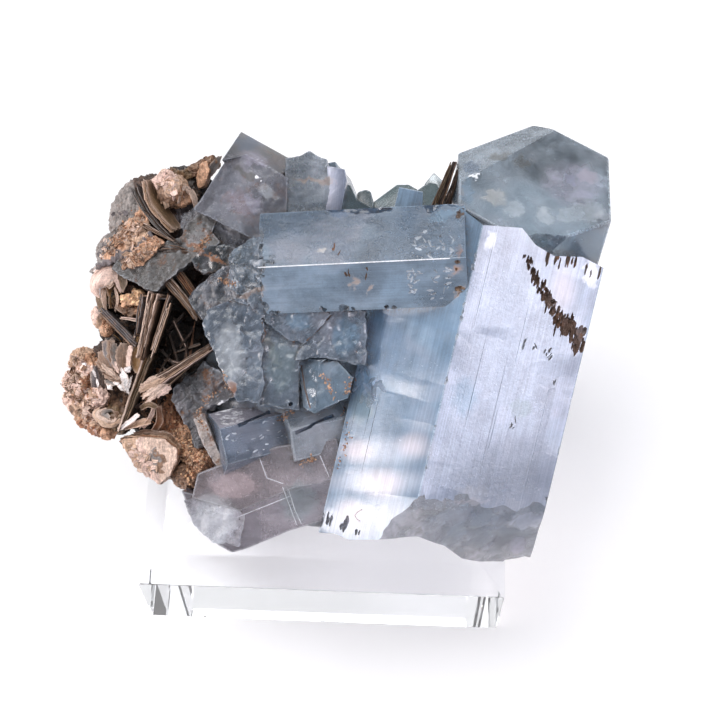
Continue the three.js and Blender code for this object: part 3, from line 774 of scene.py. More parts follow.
def rough_lumps():
    grey_green = slab([
        (-29, 18.6), (-27.9, 20), (-25.7, 20.8), (-23.8, 22.1), (-21.8, 22.2), (-19.8, 23.1), (-18.8, 25),
        (-17.3, 26.1), (-15, 25.7), (-15.5, 23.8), (-14.2, 22.4), (-17.1, 20.7), (-18.1, 19.8),
        (-19.7, 18.6), (-21.2, 17.3), (-22.5, 15.8), (-23.8, 15.9), (-25.3, 16.6), (-26.5, 17.2),
        (-27.9, 17.9),
    ], 17, 13, (0.12, -0.1))
    dusty = slab([
        (-20.1, 26), (-17.4, 27.4), (-12.7, 26.2), (-9, 24.6), (-8.9, 22.3), (-12.4, 21.5), (-16.5, 21.4),
        (-19.3, 23.4),
    ], 16.6, 9, (0.1, 0.05))
    under = slab([
        (-18.3, 14.7), (-16.8, 16.7), (-15.5, 17.9), (-12.6, 19.3), (-8.7, 20.4), (-8.2, 16), (-11.4, 14.6),
        (-13.7, 13.2), (-16, 11.9), (-17.2, 13.1),
    ], 19.4, 9, (0.35, 0.1))
    step = [
        slab([(-12.6, 19), (-6.6, 19.2), (-6.6, 22.6), (-9.8, 23), (-12.8, 20.6)], 23.4, 10, (0.62, -0.6)),
        slab([(-12.6, 16.4), (-10.6, 15), (-6.6, 14.4), (-6.6, 19.6), (-12.6, 19.4)], 23.4, 10, (0.62, 0.6)),
    ]
    dark = slab([
        (-20.1, 3.1), (-16.1, 6.6), (-14, 5.6), (-11.8, 4.3), (-11.4, 2.4), (-15.6, 0.2), (-15.8, -4.5),
        (-17.1, -4.8), (-18.3, -1.9), (-20.4, 1.4),
    ], 16, 9, (0.15, 0.1))
    dome = [
        slab([(-3.3, 7.2), (-2.6, 1.2), (-1, 0.4), (-0.6, 6.8), (0.4, 7.6)], 20.9, 8, (0.55, -0.1)),
        slab([(-1, 0.4), (1, 1.6), (3.2, 2.6), (3.8, 5.2), (1.6, 7.4), (-0.6, 7)], 21.2, 8, (-0.12, -0.14)),
    ]
    frosted = slab([
        (-18, -11.8), (-14.1, -10.3), (-9.9, -13.5), (-10.7, -17.6), (-14, -17.3), (-16.6, -15.2),
    ], 16.8, 6, (-0.05, 0.1))
    plate = slab([
        (-15.8, -0.2), (-15, -1.7), (-14.2, -3.6), (-13.1, -6.2), (-12.5, -7.2), (-13.8, -7.4),
        (-15.4, -4.6), (-17, -0.9),
    ], 18.6, 5, (0.1, 0.3))
    return [
        rough_block("grey_green_crystal", [grey_green], 4, folds=0.3, fold_size=2, grit=0.12, lean=40),
        rough_block("dusty_ground", [dusty], 16, folds=0.4, fold_size=1.6, grit=0.1),
        rough_block("under_horizontal", [under], 17, folds=0.4, fold_size=1.6, grit=0.1),
        rough_block("horizontal_step", step, 18, folds=0.5, fold_size=1.6, grit=0.08),
        rough_block("dark_lump", [dark], 5, folds=0.45, fold_size=1.8, grit=0.12),
        rough_block("bluish_crystal", dome, 19, folds=0.14, fold_size=2.4, grit=0.02, grid=0.18),
        rough_block("frosted_corner", [frosted], 20, folds=0.22, fold_size=1.2, grit=0.08, grid=0.18),
        rough_block("tan_plate", [plate], 21, folds=0.2, fold_size=1.2, grit=0.08, grid=0.18),
        boulder("heart", (-4, 6, 9), (25, 27, 18), 7, detail=5, coarse=1),
        boulder("heart_top", (-3, 19, 4), (25, 17, 22), 9, detail=5, coarse=1.2),
        boulder("heart_foot", (-2, -8, 12), (18, 14, 8), 10),
    ]


# Fine bright lines inside the clear crystals, dark cracks, and a rusty hair on the large prism.
FROSTED_LINES = [
    [(-11, -13.8), (-7.8, -12.4), (-4.2, -10.8)],
    [(-4.3, -10), (-3.4, -12.6), (-2.5, -14.4)],
    [(-5.1, -9.6), (-3.8, -12.9), (-3.1, -14.6)],
    [(-8.2, -5.8), (-7.2, -8.4), (-5.1, -9.1)],
    [(-0.3, -5.2), (1, -8)],
    [(-12.8, -6.2), (-7.6, -4.6)],
]
GROOVES = [[(-10.9, -1.5), (-7.4, 0.2), (-4.1, 1.6)], [(-3.4, -2.2), (1.2, 0.1)]]
CRACKS = [
    [(0.7, 13.2), (-0.9, 11.2), (-2.3, 9.8)],
    [(-8, 11.9), (-7.6, 10.6), (-8, 9.4)],
    [(-3, 6.6), (-2.4, 3.6), (-1.6, 1.2)],
]
RUSTY_HAIR = [[(5.5, -11.8), (4.9, -12.2), (4.6, -12.7), (4.9, -13.1), (5.3, -13.3)]]


def lined(piece):
    """Adds the fine lines and cuts the cracks."""
    surface = surface_of(piece)
    unite(piece, [
        *rods("frosted_line", surface, FROSTED_LINES, 0.065), *rods("rust_line", surface, RUSTY_HAIR, 0.08),
    ])
    cracks = rods("rust_pit_crack", surface, CRACKS, 0.12)
    return cut(piece, *cracks, *rods("blue_chip_groove", surface, GROOVES, 0.3))


def cut_off_below(piece):
    """Cuts the rough underside flat, just clear of the base."""
    tilt = math.radians(TILT)
    only(piece)
    bpy.ops.object.mode_set(mode="EDIT")
    down = Vector((0, -math.sin(tilt), -math.cos(tilt)))
    bisect_off(-SEAT_GAP * down, down)
    bpy.ops.object.mode_set(mode="OBJECT")


def beryl_cluster():
    piece = main_prism()
    parts = [upper_block(), middle_mass(), *small_prisms(), *face_blocks(), *rough_lumps()]
    unite(piece, parts)
    lined(piece)
    cut_off_below(piece)
    piece.name = "aquamarine_crystals"
    return piece


# ------------------------------------------------------------------ mica shapes

# Tones of the mica and the matrix. BLACK and DARK are leaf tones too, and in the grounds' deep hollows they
# paint shade.
BLACK = (0.012, 0.006, 0.004)
DARK = (0.05, 0.024, 0.015)
OLIVE = (0.17, 0.105, 0.055)
AMBER = (0.22, 0.11, 0.03)
BROWN = (0.21, 0.12, 0.075)
RUST = (0.3, 0.13, 0.065)
ORANGE = (0.53, 0.3, 0.185)
TAN = (0.5, 0.33, 0.23)
APRICOT = (0.74, 0.46, 0.27)
GREY = (0.21, 0.185, 0.175)
SLATE = (0.12, 0.1, 0.105)
PALE = (0.62, 0.455, 0.37)
PINK = (0.66, 0.47, 0.4)
# A near-white tone that paints the silvery highlights on mica leaves.
SILVER_HIGHLIGHT = (0.86, 0.8, 0.8)

VIEWER = Vector((0, 0, 1))


def shade(tone, factor):
    return [min(max(c * factor, 0), 1) for c in tone]


def marks(piece):
    """Adds the three attributes that the mica's material reads: its tone, its grain and its shine."""
    attributes = piece.data.attributes
    for name, kind in (("tone", "FLOAT_COLOR"), ("grain", "FLOAT_VECTOR"), ("shine", "FLOAT")):
        if name not in attributes:
            attributes.new(name, kind, "POINT")
    return attributes["tone"].data, attributes["grain"].data, attributes["shine"].data


def along_route(route, share):
    """A place on a smooth curve through the route's points."""
    way = share * (len(route) - 1)
    k = min(int(way), len(route) - 2)
    t = way - k
    before, first, last, after = (route[min(max(k + d, 0), len(route) - 1)] for d in (-1, 0, 1, 2))
    return 0.5 * (
        2 * first + (last - before) * t + (2 * before - 5 * first + 4 * last - after) * t ** 2
        + (3 * first - before - 3 * last + after) * t ** 3
    )


def leaf(route, widths, tone, seed, out=VIEWER, cup=0, ragged=0.15, shine=0.3, cuts=(24, 6), thick=0.09):
    """One flake of mica along a route. Its flat side looks along out, and its edges are pale."""
    points = [Vector(p) for p in route]
    breadths = [Vector((w, 0, 0)) for w in widths]
    out = Vector(out)
    bpy.ops.mesh.primitive_grid_add(x_subdivisions=cuts[1], y_subdivisions=cuts[0], size=1)
    piece = added("leaf")
    tones, grains, shines = marks(piece)
    shift = seed_shift(seed)
    factor = 1 + 0.3 * noise.noise(shift * 1.7)
    length = (points[-1] - points[0]).length
    for vertex in piece.data.vertices:
        u, v = 2 * vertex.co.x, vertex.co.y + 0.5
        centre = along_route(points, v)
        forward = (along_route(points, min(v + 0.02, 1)) - along_route(points, max(v - 0.02, 0))).normalized()
        side = forward.cross(out).normalized()
        face = side.cross(forward).normalized()
        wide = 0.5 * along_route(breadths, v).x
        edge = ragged * noise.noise(Vector((2.2 * v * length, 9 * u, 0)) + shift)
        tip = ragged * noise.noise(Vector((5 * u * wide, 9 * round(v), 3)) + shift) * (2 * v - 1) ** 5 * 2
        wave = 0.35 * ragged * noise.noise(Vector((1.8 * u * wide, 0.8 * v * length, 6)) + shift)
        aside = u * wide + edge * abs(u) * u
        vertex.co = centre + side * aside + forward * tip + face * (cup * u * u + wave)
        rim = max(abs(u), abs(2 * v - 1)) ** 6
        paler = [c + (p - c) * 0.6 * rim for c, p in zip(shade(tone, factor), PALE)]
        tones[vertex.index].color = (*paler, 1)
        grains[vertex.index].vector = (u * wide + seed, v * length, seed)
        shines[vertex.index].value = shine
    only(piece)
    solid = piece.modifiers.new("thickness", "SOLIDIFY")
    solid.thickness = thick
    solid.offset = 0
    apply_modifiers(piece)
    return piece


def sheaf(route, widths, tones, seed, count, lift, slip=0.3, **shape):
    """Flakes lying on one another. Each is moved by lift and slips a little by chance."""
    chance = random.Random(seed)
    leaves = []
    for k in range(count):
        nudge = Vector(lift) * k + slip * Vector([chance.uniform(-1, 1) for _ in range(3)])
        moved = [Vector(p) + nudge for p in route]
        leaves.append(leaf(moved, widths, chance.choice(tones), 40 * seed + k, **shape))
    return leaves


def laminate(start, end, width, depth, tones, seed, layers, out=VIEWER, ledge=0.25, slip=0.5, bow=0, cuts=26):
    """A thick plate seen on edge, split into leaves. Its layered side looks along out.

    Width is given at its start and at its end, across the leaves.
    """
    start, end = Vector(start), Vector(end)
    along = end - start
    length = along.length
    across = along.cross(Vector(out)).normalized()
    face = across.cross(along).normalized()
    chance = random.Random(seed)
    leaves = [[chance.uniform(-1, 1) for _ in range(4)] + [chance.choice(tones)] for _ in range(layers)]
    bpy.ops.mesh.primitive_cube_add(size=1)
    piece = added("laminate")
    bpy.ops.object.mode_set(mode="EDIT")
    bpy.ops.mesh.select_all(action="SELECT")
    bpy.ops.mesh.subdivide(number_cuts=cuts)
    bpy.ops.object.mode_set(mode="OBJECT")
    colours, grains, shines = marks(piece)
    shift = seed_shift(seed)
    for vertex in piece.data.vertices:
        v, u, w = vertex.co.x + 0.5, 2 * vertex.co.y, 2 * vertex.co.z
        wavy = u + 0.5 / layers * noise.noise(Vector((0.7 * v * length, w, 0)) + shift)
        share = min(max((wavy + 1) / 2 * layers, 0), layers - 0.01)
        layer = int(share)
        first, last, raised, bright, tone = leaves[layer]
        split = abs(share - layer - 0.5) > 0.34
        wide = 0.5 * (width[0] * (1 - v) + width[1] * v)
        frayed = noise.noise(Vector((5.3 * layer, 0.9 * v * length, 0)) + shift)
        rough = noise.noise(Vector((9 * u * wide, 1.1 * v * length, 4)) + shift)
        step = ledge * (0.8 * raised + 0.9 * frayed + 0.3 * rough) - (0.8 * ledge if split else 0)
        slipped = slip * (last * v ** 6 - first * (1 - v) ** 6)
        reach = v * length + slipped + 0.3 * slip * rough * (2 * v - 1) ** 5
        sideways = u * wide + 4 * bow * v * (1 - v) + 0.06 * frayed
        raise_by = 0.5 * w * depth + step * max(w, 0)
        vertex.co = start + along / length * reach + across * sideways + face * raise_by
        # Gaps between leaves are darker, and each plate darkens away from its layered side: painted shade.
        factor = (0.9 + 0.25 * bright + 0.3 * rough) * (0.4 if split else 1) * (0.75 + 0.25 * w)
        colours[vertex.index].color = (*shade(tone, factor), 1)
        grains[vertex.index].vector = (2 * u * wide + seed, v * length, 0.2 * w * depth)
        shines[vertex.index].value = 0.25
    return piece


def from_route(place, route):
    """How far a place lies from a route, seen from the viewer."""
    spot = place.to_2d()
    points = [Vector(p) for p in route]
    if len(points) == 1:
        return (spot - points[0]).length
    gaps = []
    for first, last in zip(points, points[1:]):
        foot, share = geometry.intersect_point_line(spot, first, last)
        foot = first if share < 0 else last if share > 1 else foot
        gaps.append((spot - foot.to_2d()).length)
    return min(gaps)


def crumpled(
    piece, patches, seed, folds=0.45, fold_size=1.5, grit=0.14, grit_size=0.4, shine=0.1, contrast=1,
):
    """Folds and roughens a skin, and tones it, darker in its low folds and lighter on its raised parts as
    painted shade. A patch is a route, its reach and its tone.
    """
    shift = seed_shift(seed)
    tones, grains, shines = marks(piece)
    mesh = piece.data
    moved = []
    for vertex in mesh.vertices:
        place = vertex.co
        broad = 1 - 3 * abs(noise.noise(place / fold_size + shift))
        middle = 1 - 3 * abs(noise.noise(place / (0.4 * fold_size) + shift))
        small = noise.noise(place / grit_size + shift) + 0.6 * noise.noise(place / (0.5 * grit_size) + shift)
        relief = 0.6 * broad + 0.35 * middle
        moved.append(place + vertex.normal * (folds * relief + grit * small))
        strayed = place + 0.9 * noise.noise_vector(place / 1.3 + shift)
        strayed = strayed + 0.35 * noise.noise_vector(place / 0.4)
        tone = min(patches, key=lambda patch: from_route(strayed, patch[0]) / patch[1])[2]
        # The tone follows the relief, darker in the low folds and lighter on the raised parts: painted shade.
        factor = 1 + contrast * (0.32 * relief + 0.65 * small)
        tones[vertex.index].color = (*shade(tone, max(factor, 0.12)), 1)
        grains[vertex.index].vector = place
        shines[vertex.index].value = shine
    for vertex, place in zip(mesh.vertices, moved):
        vertex.co = place
    return piece


def copied(template, matrix, tone):
    """A copy of a small piece with its own mesh, at a place and in a tone."""
    piece = template.copy()
    piece.data = template.data.copy()
    bpy.context.collection.objects.link(piece)
    piece.data.transform(matrix)
    count = len(piece.data.vertices)
    piece.data.attributes["tone"].data.foreach_set("color", [*tone, 1] * count)
    return piece


def crumb_kinds():
    kinds = []
    for seed in range(5):
        bpy.ops.mesh.primitive_ico_sphere_add(subdivisions=1, radius=0.5)
        crumb = added("crumb")
        uneven(crumb, 0.25, 0.15, 0.5, seed)
        marks(crumb)
        kinds.append(crumb)
    return kinds


def flake_kinds():
    return [
        leaf([(-0.5, 0, 0), (0, 0.05 * k, 0.08), (0.5, 0, 0)], (0.4, 0.7, 0.5), BROWN, 7 + k,
             ragged=0.12, shine=0.6, cuts=(5, 3), thick=0.05, cup=0.06)
        for k in range(4)
    ]


def strewn(kinds, surface, route, spread, size, tones, seed, count, lean=0.4, flat=1.0, sunk=0.0):
    """Copies of small pieces that lie on a surface along a route."""
    chance = random.Random(seed)
    points = [Vector(p) for p in route]
    made = []
    for _ in range(count):
        first = chance.randrange(max(len(points) - 1, 1))
        spot = points[first].lerp(points[min(first + 1, len(points) - 1)], chance.random())
        x, y = (c + chance.gauss(0, spread) for c in spot)
        place, normal, _, _ = surface.ray_cast(Vector((x, y, 60)), -VIEWER)
        measured = chance.uniform(*size)
        spun = Matrix.Rotation(chance.uniform(0, math.tau), 4, "Z")
        tilted = Matrix.Rotation(lean * chance.gauss(0, 1), 4, (1, 0, 0))
        tone = shade(chance.choice(tones), chance.uniform(0.7, 1.25))
        kind = chance.choice(kinds)
        if place and normal.z > 0.1:
            turned = normal.to_track_quat("Z", "Y").to_matrix().to_4x4()
            scale = Matrix.Diagonal((measured, measured * chance.uniform(0.6, 1.1), measured * flat, 1))
            matrix = Matrix.Translation(place - sunk * measured * normal) @ turned @ spun @ tilted @ scale
            made.append(copied(kind, matrix, tone))
    return made


CRUMBS = crumb_kinds()
FLAKES = flake_kinds()


# ------------------------------------------------------------------ mica books and the matrix


def upper_mica():
    """The dark stack at the upper left: a smooth grey leaf, rusty terraces and a curved book on edge."""
    ground = crumpled(fused([
        lump((-24.4, 25.4, 10.4), (12, 13, 8.6)),
        lump((-28.4, 20.8, 11), (7, 6.4, 6.6)),
        lump((-20.4, 29.4, 10.6), (8.6, 7.4, 7)),
        slab([
            (-26.2, 29.3), (-27, 28), (-27.6, 26.9), (-28, 24.5), (-29, 23), (-30.2, 21.6), (-31.2, 19),
            (-32.2, 18.2), (-30, 17.6), (-26, 20), (-24, 24), (-24.6, 28),
        ], 15.2, 4, (0.35, -0.05)),
        slab(
            [(-25.8, 25.9), (-23.8, 23.1), (-28.1, 20.2), (-30.2, 19.9), (-29.9, 22.3), (-27.6, 23.6)],
            16, 3, (0.2, 0),
        ),
        slab([(-23.8, 23.6), (-23.2, 22.7), (-27.4, 19.8), (-31.2, 18.6), (-30.4, 20)], 16.4, 3, (0.15, 0)),
        slab([(-23.1, 22.8), (-21.9, 22.2), (-24.9, 19.1), (-27.4, 18.5), (-27, 20)], 17, 3, (0.1, 0)),
    ]), [
        ([(-27.2, 27.8), (-28.8, 24), (-31.2, 19.8)], 1.1, GREY),
        ([(-25.3, 25.2), (-27.4, 22.4), (-29.9, 20.8)], 0.9, ORANGE),
        ([(-24.6, 24.2), (-26.6, 22.2)], 0.5, TAN),
        ([(-23.9, 23.2), (-27, 20.6), (-31, 19)], 0.5, SLATE),
        ([(-22.7, 22.6), (-26.4, 19.3)], 0.8, ORANGE),
        # The dark and black patches paint shade in the hollows.
        ([(-24, 30), (-21.8, 25)], 1.2, DARK),
        ([(-20, 31), (-18, 30.4)], 1.3, BLACK),
        ([(-19.4, 25.6)], 1.6, SLATE),
    ], seed=1, folds=0.3, fold_size=1.2, grit=0.16, grit_size=0.35, contrast=0.9)
    pink_lump = crumpled(fused([
        slab([
            (-23.7, 30.5), (-22.5, 31.8), (-21.5, 31.6), (-20.8, 30.6), (-19.7, 30.2), (-18.9, 29),
            (-18.9, 28), (-19.9, 27.3), (-21.2, 27.3), (-22.8, 28.8),
        ], 16, 5, (-0.15, 0.25)),
        lump((-21.3, 29.3, 14.6), (4.4, 4, 4.8), 40),
    ], 0.16), [
        ([(-22.7, 30.9)], 1, PINK), ([(-21, 29.4)], 1, TAN), ([(-19.9, 28.2)], 1, ORANGE),
        ([(-22.4, 29.2), (-21, 28)], 0.5, BROWN),
    ], seed=2, folds=0.3, fold_size=1.5, grit=0.1, grit_size=0.3, contrast=0.8)
    ledge = crumpled(fused([
        slab([
            (-21.9, 32.5), (-21, 31.9), (-19.6, 32.3), (-18.5, 33.1), (-17.1, 33.9), (-16, 34.1),
            (-15.6, 33.3), (-17.2, 32.4), (-18.4, 31.7), (-19.8, 31.1), (-21, 30.9),
        ], 14.2, 4, (0, 0.3)),
    ], 0.16), [
        ([(-21.5, 31.8), (-20, 31.6)], 0.9, OLIVE), ([(-18.6, 32.6), (-16.4, 33.6)], 0.8, BROWN),
        ([(-17.4, 33.2)], 0.5, TAN),
    ], seed=3, folds=0.3, fold_size=0.9, grit=0.14)
    chunk = crumpled(fused([
        slab(
            [(-17.7, 33), (-16.8, 33.3), (-16.4, 32.2), (-17.1, 30.2), (-18, 29.8), (-18.2, 31.2)],
            15, 4, (0.4, 0.2),
        ),
    ], 0.14), [([(-17.3, 31.6)], 1, ORANGE)], seed=4, folds=0.16, grit=0.06, contrast=0.8)
    stack = [
        laminate(
            (-26.2, 29.5, 14.2), (-19.8, 22, 14.8), (1.1, 0.5), 4.6, (PINK, GREY, PINK, BROWN, DARK), 5, 7,
            out=(-0.1, 0.1, 1), bow=0.75, ledge=0.26,
        ),
        laminate(
            (-24.6, 24.4, 15.2), (-20.6, 22.4, 15.4), (0.7, 0.3), 3.4, (PALE, BROWN, RUST), 6, 3, slip=0.3,
        ),
        laminate(
            (-22.3, 21.4, 15.6), (-16.7, 20.3, 15.8), (1.2, 0.4),
            3, (BROWN, RUST, TAN, DARK), 7, 5, bow=-0.4,
        ),
    ]
    inner = sheaf(
        [(-24.6, 30.4, 15.6), (-23.5, 27.4, 15.4), (-20.8, 23.9, 15.8)],
        (2.4, 3.4, 2), (AMBER, OLIVE, AMBER), 8, 4,
        (0.14, 0.1, -0.12), slip=0.15, out=(0.75, 0.45, 0.5), shine=0.7, ragged=0.25,
    )
    flakes = [
        leaf(
            [(-16.6, 31.8, 14.4), (-15.8, 33, 14.5), (-15.2, 34.2, 14.2)],
            (1.2, 1.2, 0.4), GREY, 22, (0.5, -0.2, 0.8),
        ),
        leaf([(-18.8, 29.4, 16), (-18.2, 28.2, 16), (-18, 27, 15.8)], (0.8, 1, 0.5), PALE, 23, (0.7, 0, 0.7)),
        leaf(
            [(-22.4, 32, 16.2), (-21.6, 31.6, 16.6), (-20.8, 30.8, 16.4)],
            (0.4, 0.7, 0.4), PINK, 24, (0.1, 0.5, 0.8),
        ),
    ]
    loose = strewn(
        FLAKES, surface_of(pink_lump), [(-23, 30.6), (-20, 28.6)],
        0.8, (0.5, 1.3), (PINK, TAN, PALE), 26, 40,
    )
    loose += strewn(
        FLAKES, surface_of(ledge), [(-21.4, 31.9), (-16.6, 33.4)],
        0.4, (0.4, 1.1), (BROWN, OLIVE, TAN), 27, 30, 0.8,
    )
    for k, band in enumerate(([(-25.3, 25.2), (-29.8, 21)], [(-22.7, 22.6), (-26.6, 19.2)])):
        loose += strewn(
            FLAKES, surface_of(ground), band, 0.55, (0.4, 1.1),
            (ORANGE, TAN, BROWN, PALE), 28 + k, 110, 0.9,
        )
        loose += strewn(
            CRUMBS, surface_of(ground), band, 0.55, (0.15, 0.45), (ORANGE, TAN, RUST, PALE), 38 + k, 150,
        )
    loose += strewn(
        FLAKES, surface_of(ground), [(-27.4, 27), (-31, 20)], 0.5, (0.5, 1.2), (GREY, SLATE), 32, 26, 0.2,
    )
    return joined("upper_mica_books", [ground, pink_lump, ledge, chunk, *stack, *inner, *flakes, *loose])


def curved_book():
    """A book bent over like a shell, with tan crumbs in its hollow."""
    shell = []
    # The silver-toned leaf paints the shell's highlight.
    for k, tone in enumerate((PINK, SILVER_HIGHLIGHT, PALE, TAN, BROWN)):
        inward = 0.16 * k
        shell.append(leaf([
            (-27.9 + 0.5 * inward, 18.9 - inward, 15.3 - 0.6 * inward),
            (-29.2, 18.7 - inward, 15.5 - 0.7 * inward),
            (-30.4 + 0.4 * inward, 18.1 - inward, 15.2 - 0.8 * inward),
            (-31.3 + inward, 17, 14.6 - 0.8 * inward),
            (-31.5 + inward, 16, 14.2 - 0.8 * inward), (-31.2 + inward, 15.2, 13.9 - 0.8 * inward),
            (-30.8 + inward, 14.6, 13.6 - 0.8 * inward),
        ], (1.2, 2.4, 2.9, 2.6, 2.1, 1.3, 0.5), tone, 41 + k, out=(-0.25, 0.25, 0.9), cup=-0.75, shine=0.75,
            ragged=0.16, cuts=(40, 8)))
    # Silver-toned leaves along the ridge paint its highlight.
    ridge = sheaf(
        [(-31.9, 18.3, 14.2), (-30.5, 19.5, 14.9), (-29.2, 19.95, 15.3), (-27.7, 19.2, 15.4)],
        (0.2, 0.5, 0.6, 0.3),
        (SILVER_HIGHLIGHT, PINK), 46, 4, (0.08, -0.13, 0.08), slip=0.07, shine=0.9, cuts=(24, 3),
    )
    folds = [
        leaf(
            [(-28.7, 18.4, 15.4), (-28.4, 17.1, 15.5), (-27.7, 15.5, 15.2)],
            (0.5, 0.6, 0.3), PINK, 51, (0.3, 0, 1),
        ),
        leaf(
            [(-28.3, 18, 15), (-27.7, 17, 15), (-27.6, 15.6, 14.6)],
            (0.8, 1.5, 0.3), OLIVE, 52, (-0.3, 0.2, 1),
        ),
        leaf(
            [(-31.3, 15.3, 13.6), (-30.8, 13.9, 13.6), (-30.2, 12.8, 13.4)],
            (0.5, 0.9, 0.5), OLIVE, 53, (-0.3, 0, 1),
        ),
        leaf(
            [(-30.3, 15.9, 13.8), (-30.2, 14.4, 13.8), (-30, 13, 13.8)],
            (0.5, 0.7, 0.5), PALE, 54, (0.6, 0.1, 0.6),
        ),
        leaf(
            [(-29.8, 16.6, 13.4), (-29, 15.4, 13), (-29.2, 13.4, 12.8)],
            (1.2, 2, 1.2), AMBER, 55, (0.4, -0.3, 0.8), 0.4,
        ),
        leaf(
            [(-28.9, 16.2, 13.6), (-28.4, 14.6, 13.8), (-28.7, 13, 13.6)],
            (0.5, 0.8, 0.4), PALE, 56, (-0.7, 0, 0.5),
        ),
        leaf(
            [(-28.6, 13.8, 13.8), (-27.8, 13.2, 14), (-27.2, 12.6, 14.2)],
            (0.7, 0.9, 0.5), BROWN, 57, (0.2, 0.4, 0.8),
        ),
    ]
    # The black and dark tones of this ground paint shade under the shell.
    ground = crumpled(fused([
        lump((-29.2, 15.2, 10.8), (5, 5.4, 4.6)), lump((-26.4, 14.6, 11), (5, 5.6, 5)),
    ]), [([(-29, 15)], 1, BLACK), ([(-27, 17)], 1, DARK), ([(-26, 13)], 0.7, BROWN)], seed=5, folds=0.4)
    chunk = crumpled(fused([
        slab([
            (-27.7, 15), (-26.5, 15.3), (-26.1, 16), (-25.3, 15.9), (-24.7, 15.1), (-24.8, 13.9),
            (-25.5, 14), (-26.8, 13.8), (-27.5, 13.6),
        ], 14.8, 3.4, (0, -0.15)),
    ], 0.14), [
        ([(-26, 15)], 1, APRICOT), ([(-27.3, 14)], 0.5, ORANGE),
    ], seed=6, folds=0.28, fold_size=1.1, grit=0.08)
    below = crumpled(fused([
        slab([(-27.7, 13.4), (-25, 13.5), (-24.9, 12.6), (-26.6, 12.3), (-27.6, 12.8)], 14.3, 3),
        lump((-25.5, 13.1, 13.6), (1.4, 1.1, 1.8)),
    ], 0.14), [([(-27, 13)], 1, BROWN), ([(-25.5, 13.1)], 0.8, ORANGE)], seed=7, folds=0.25, fold_size=0.8)
    loose = strewn(
        FLAKES, surface_of(ground), [(-30.4, 16), (-27.4, 13)],
        0.8, (0.6, 1.4), (BROWN, OLIVE, AMBER, DARK), 58, 40, 1,
    )
    loose += strewn(
        CRUMBS, surface_of(chunk), [(-27, 14.6), (-25, 15.2)],
        0.5, (0.12, 0.35), (APRICOT, ORANGE, PALE), 59, 60,
    )
    return joined("curved_book", [*shell, *ridge, *folds, ground, chunk, below, *loose])


def tan_mass():
    """The crumbly tan end of the spray."""
    return crumpled(fused([
        lump((-33.3, 6.1, 10.8), (3.6, 3.4, 4.6)), lump((-32.4, 5, 11.4), (3.4, 3.4, 4.2)),
        lump((-34.5, 3.3, 10.6), (2.7, 3.6, 4.2)), lump((-33.2, 2.6, 11.4), (4.2, 4.6, 4.8)),
        lump((-34.6, 1, 10.6), (2.5, 2.2, 3.6)), lump((-33, 0.2, 11.2), (4, 3.4, 4.2)),
        lump((-31, 1.4, 12), (3.6, 3.2, 4.2)), lump((-32.4, -1.6, 11), (3.2, 2.6, 3.8)),
        lump((-30.7, -2.6, 11.4), (3.2, 2.4, 3.8)), lump((-29.5, -3.4, 11.8), (2, 1.8, 3.2)),
    ], 0.17), [
        ([(-33.6, 6.8)], 1, TAN), ([(-32.4, 6.4)], 0.6, ORANGE), ([(-33, 5.4)], 0.7, PINK),
        ([(-34.4, 4.6), (-33.2, 4.2)], 0.45, BROWN), ([(-35.2, 3)], 1, PINK), ([(-34.4, 2)], 0.7, TAN),
        ([(-33.4, 3)], 0.8, PALE), ([(-32.6, 3.4), (-32.2, 1.6)], 0.5, RUST), ([(-35, 0.9)], 0.8, PINK),
        ([(-33.4, 1)], 0.7, TAN), ([(-31.6, 1.2), (-29.8, 1)], 0.8, PINK), ([(-33.2, -0.6)], 0.8, TAN),
        ([(-32, -0.4), (-31.4, -1.6)], 0.6, PINK), ([(-32.6, -2.4), (-31, -3.2)], 0.7, RUST),
        ([(-30.2, -3)], 0.7, ORANGE), ([(-34, -0.4)], 0.4, BROWN),
    ], seed=8, folds=0.42, fold_size=1.1, grit=0.1, grit_size=0.28)


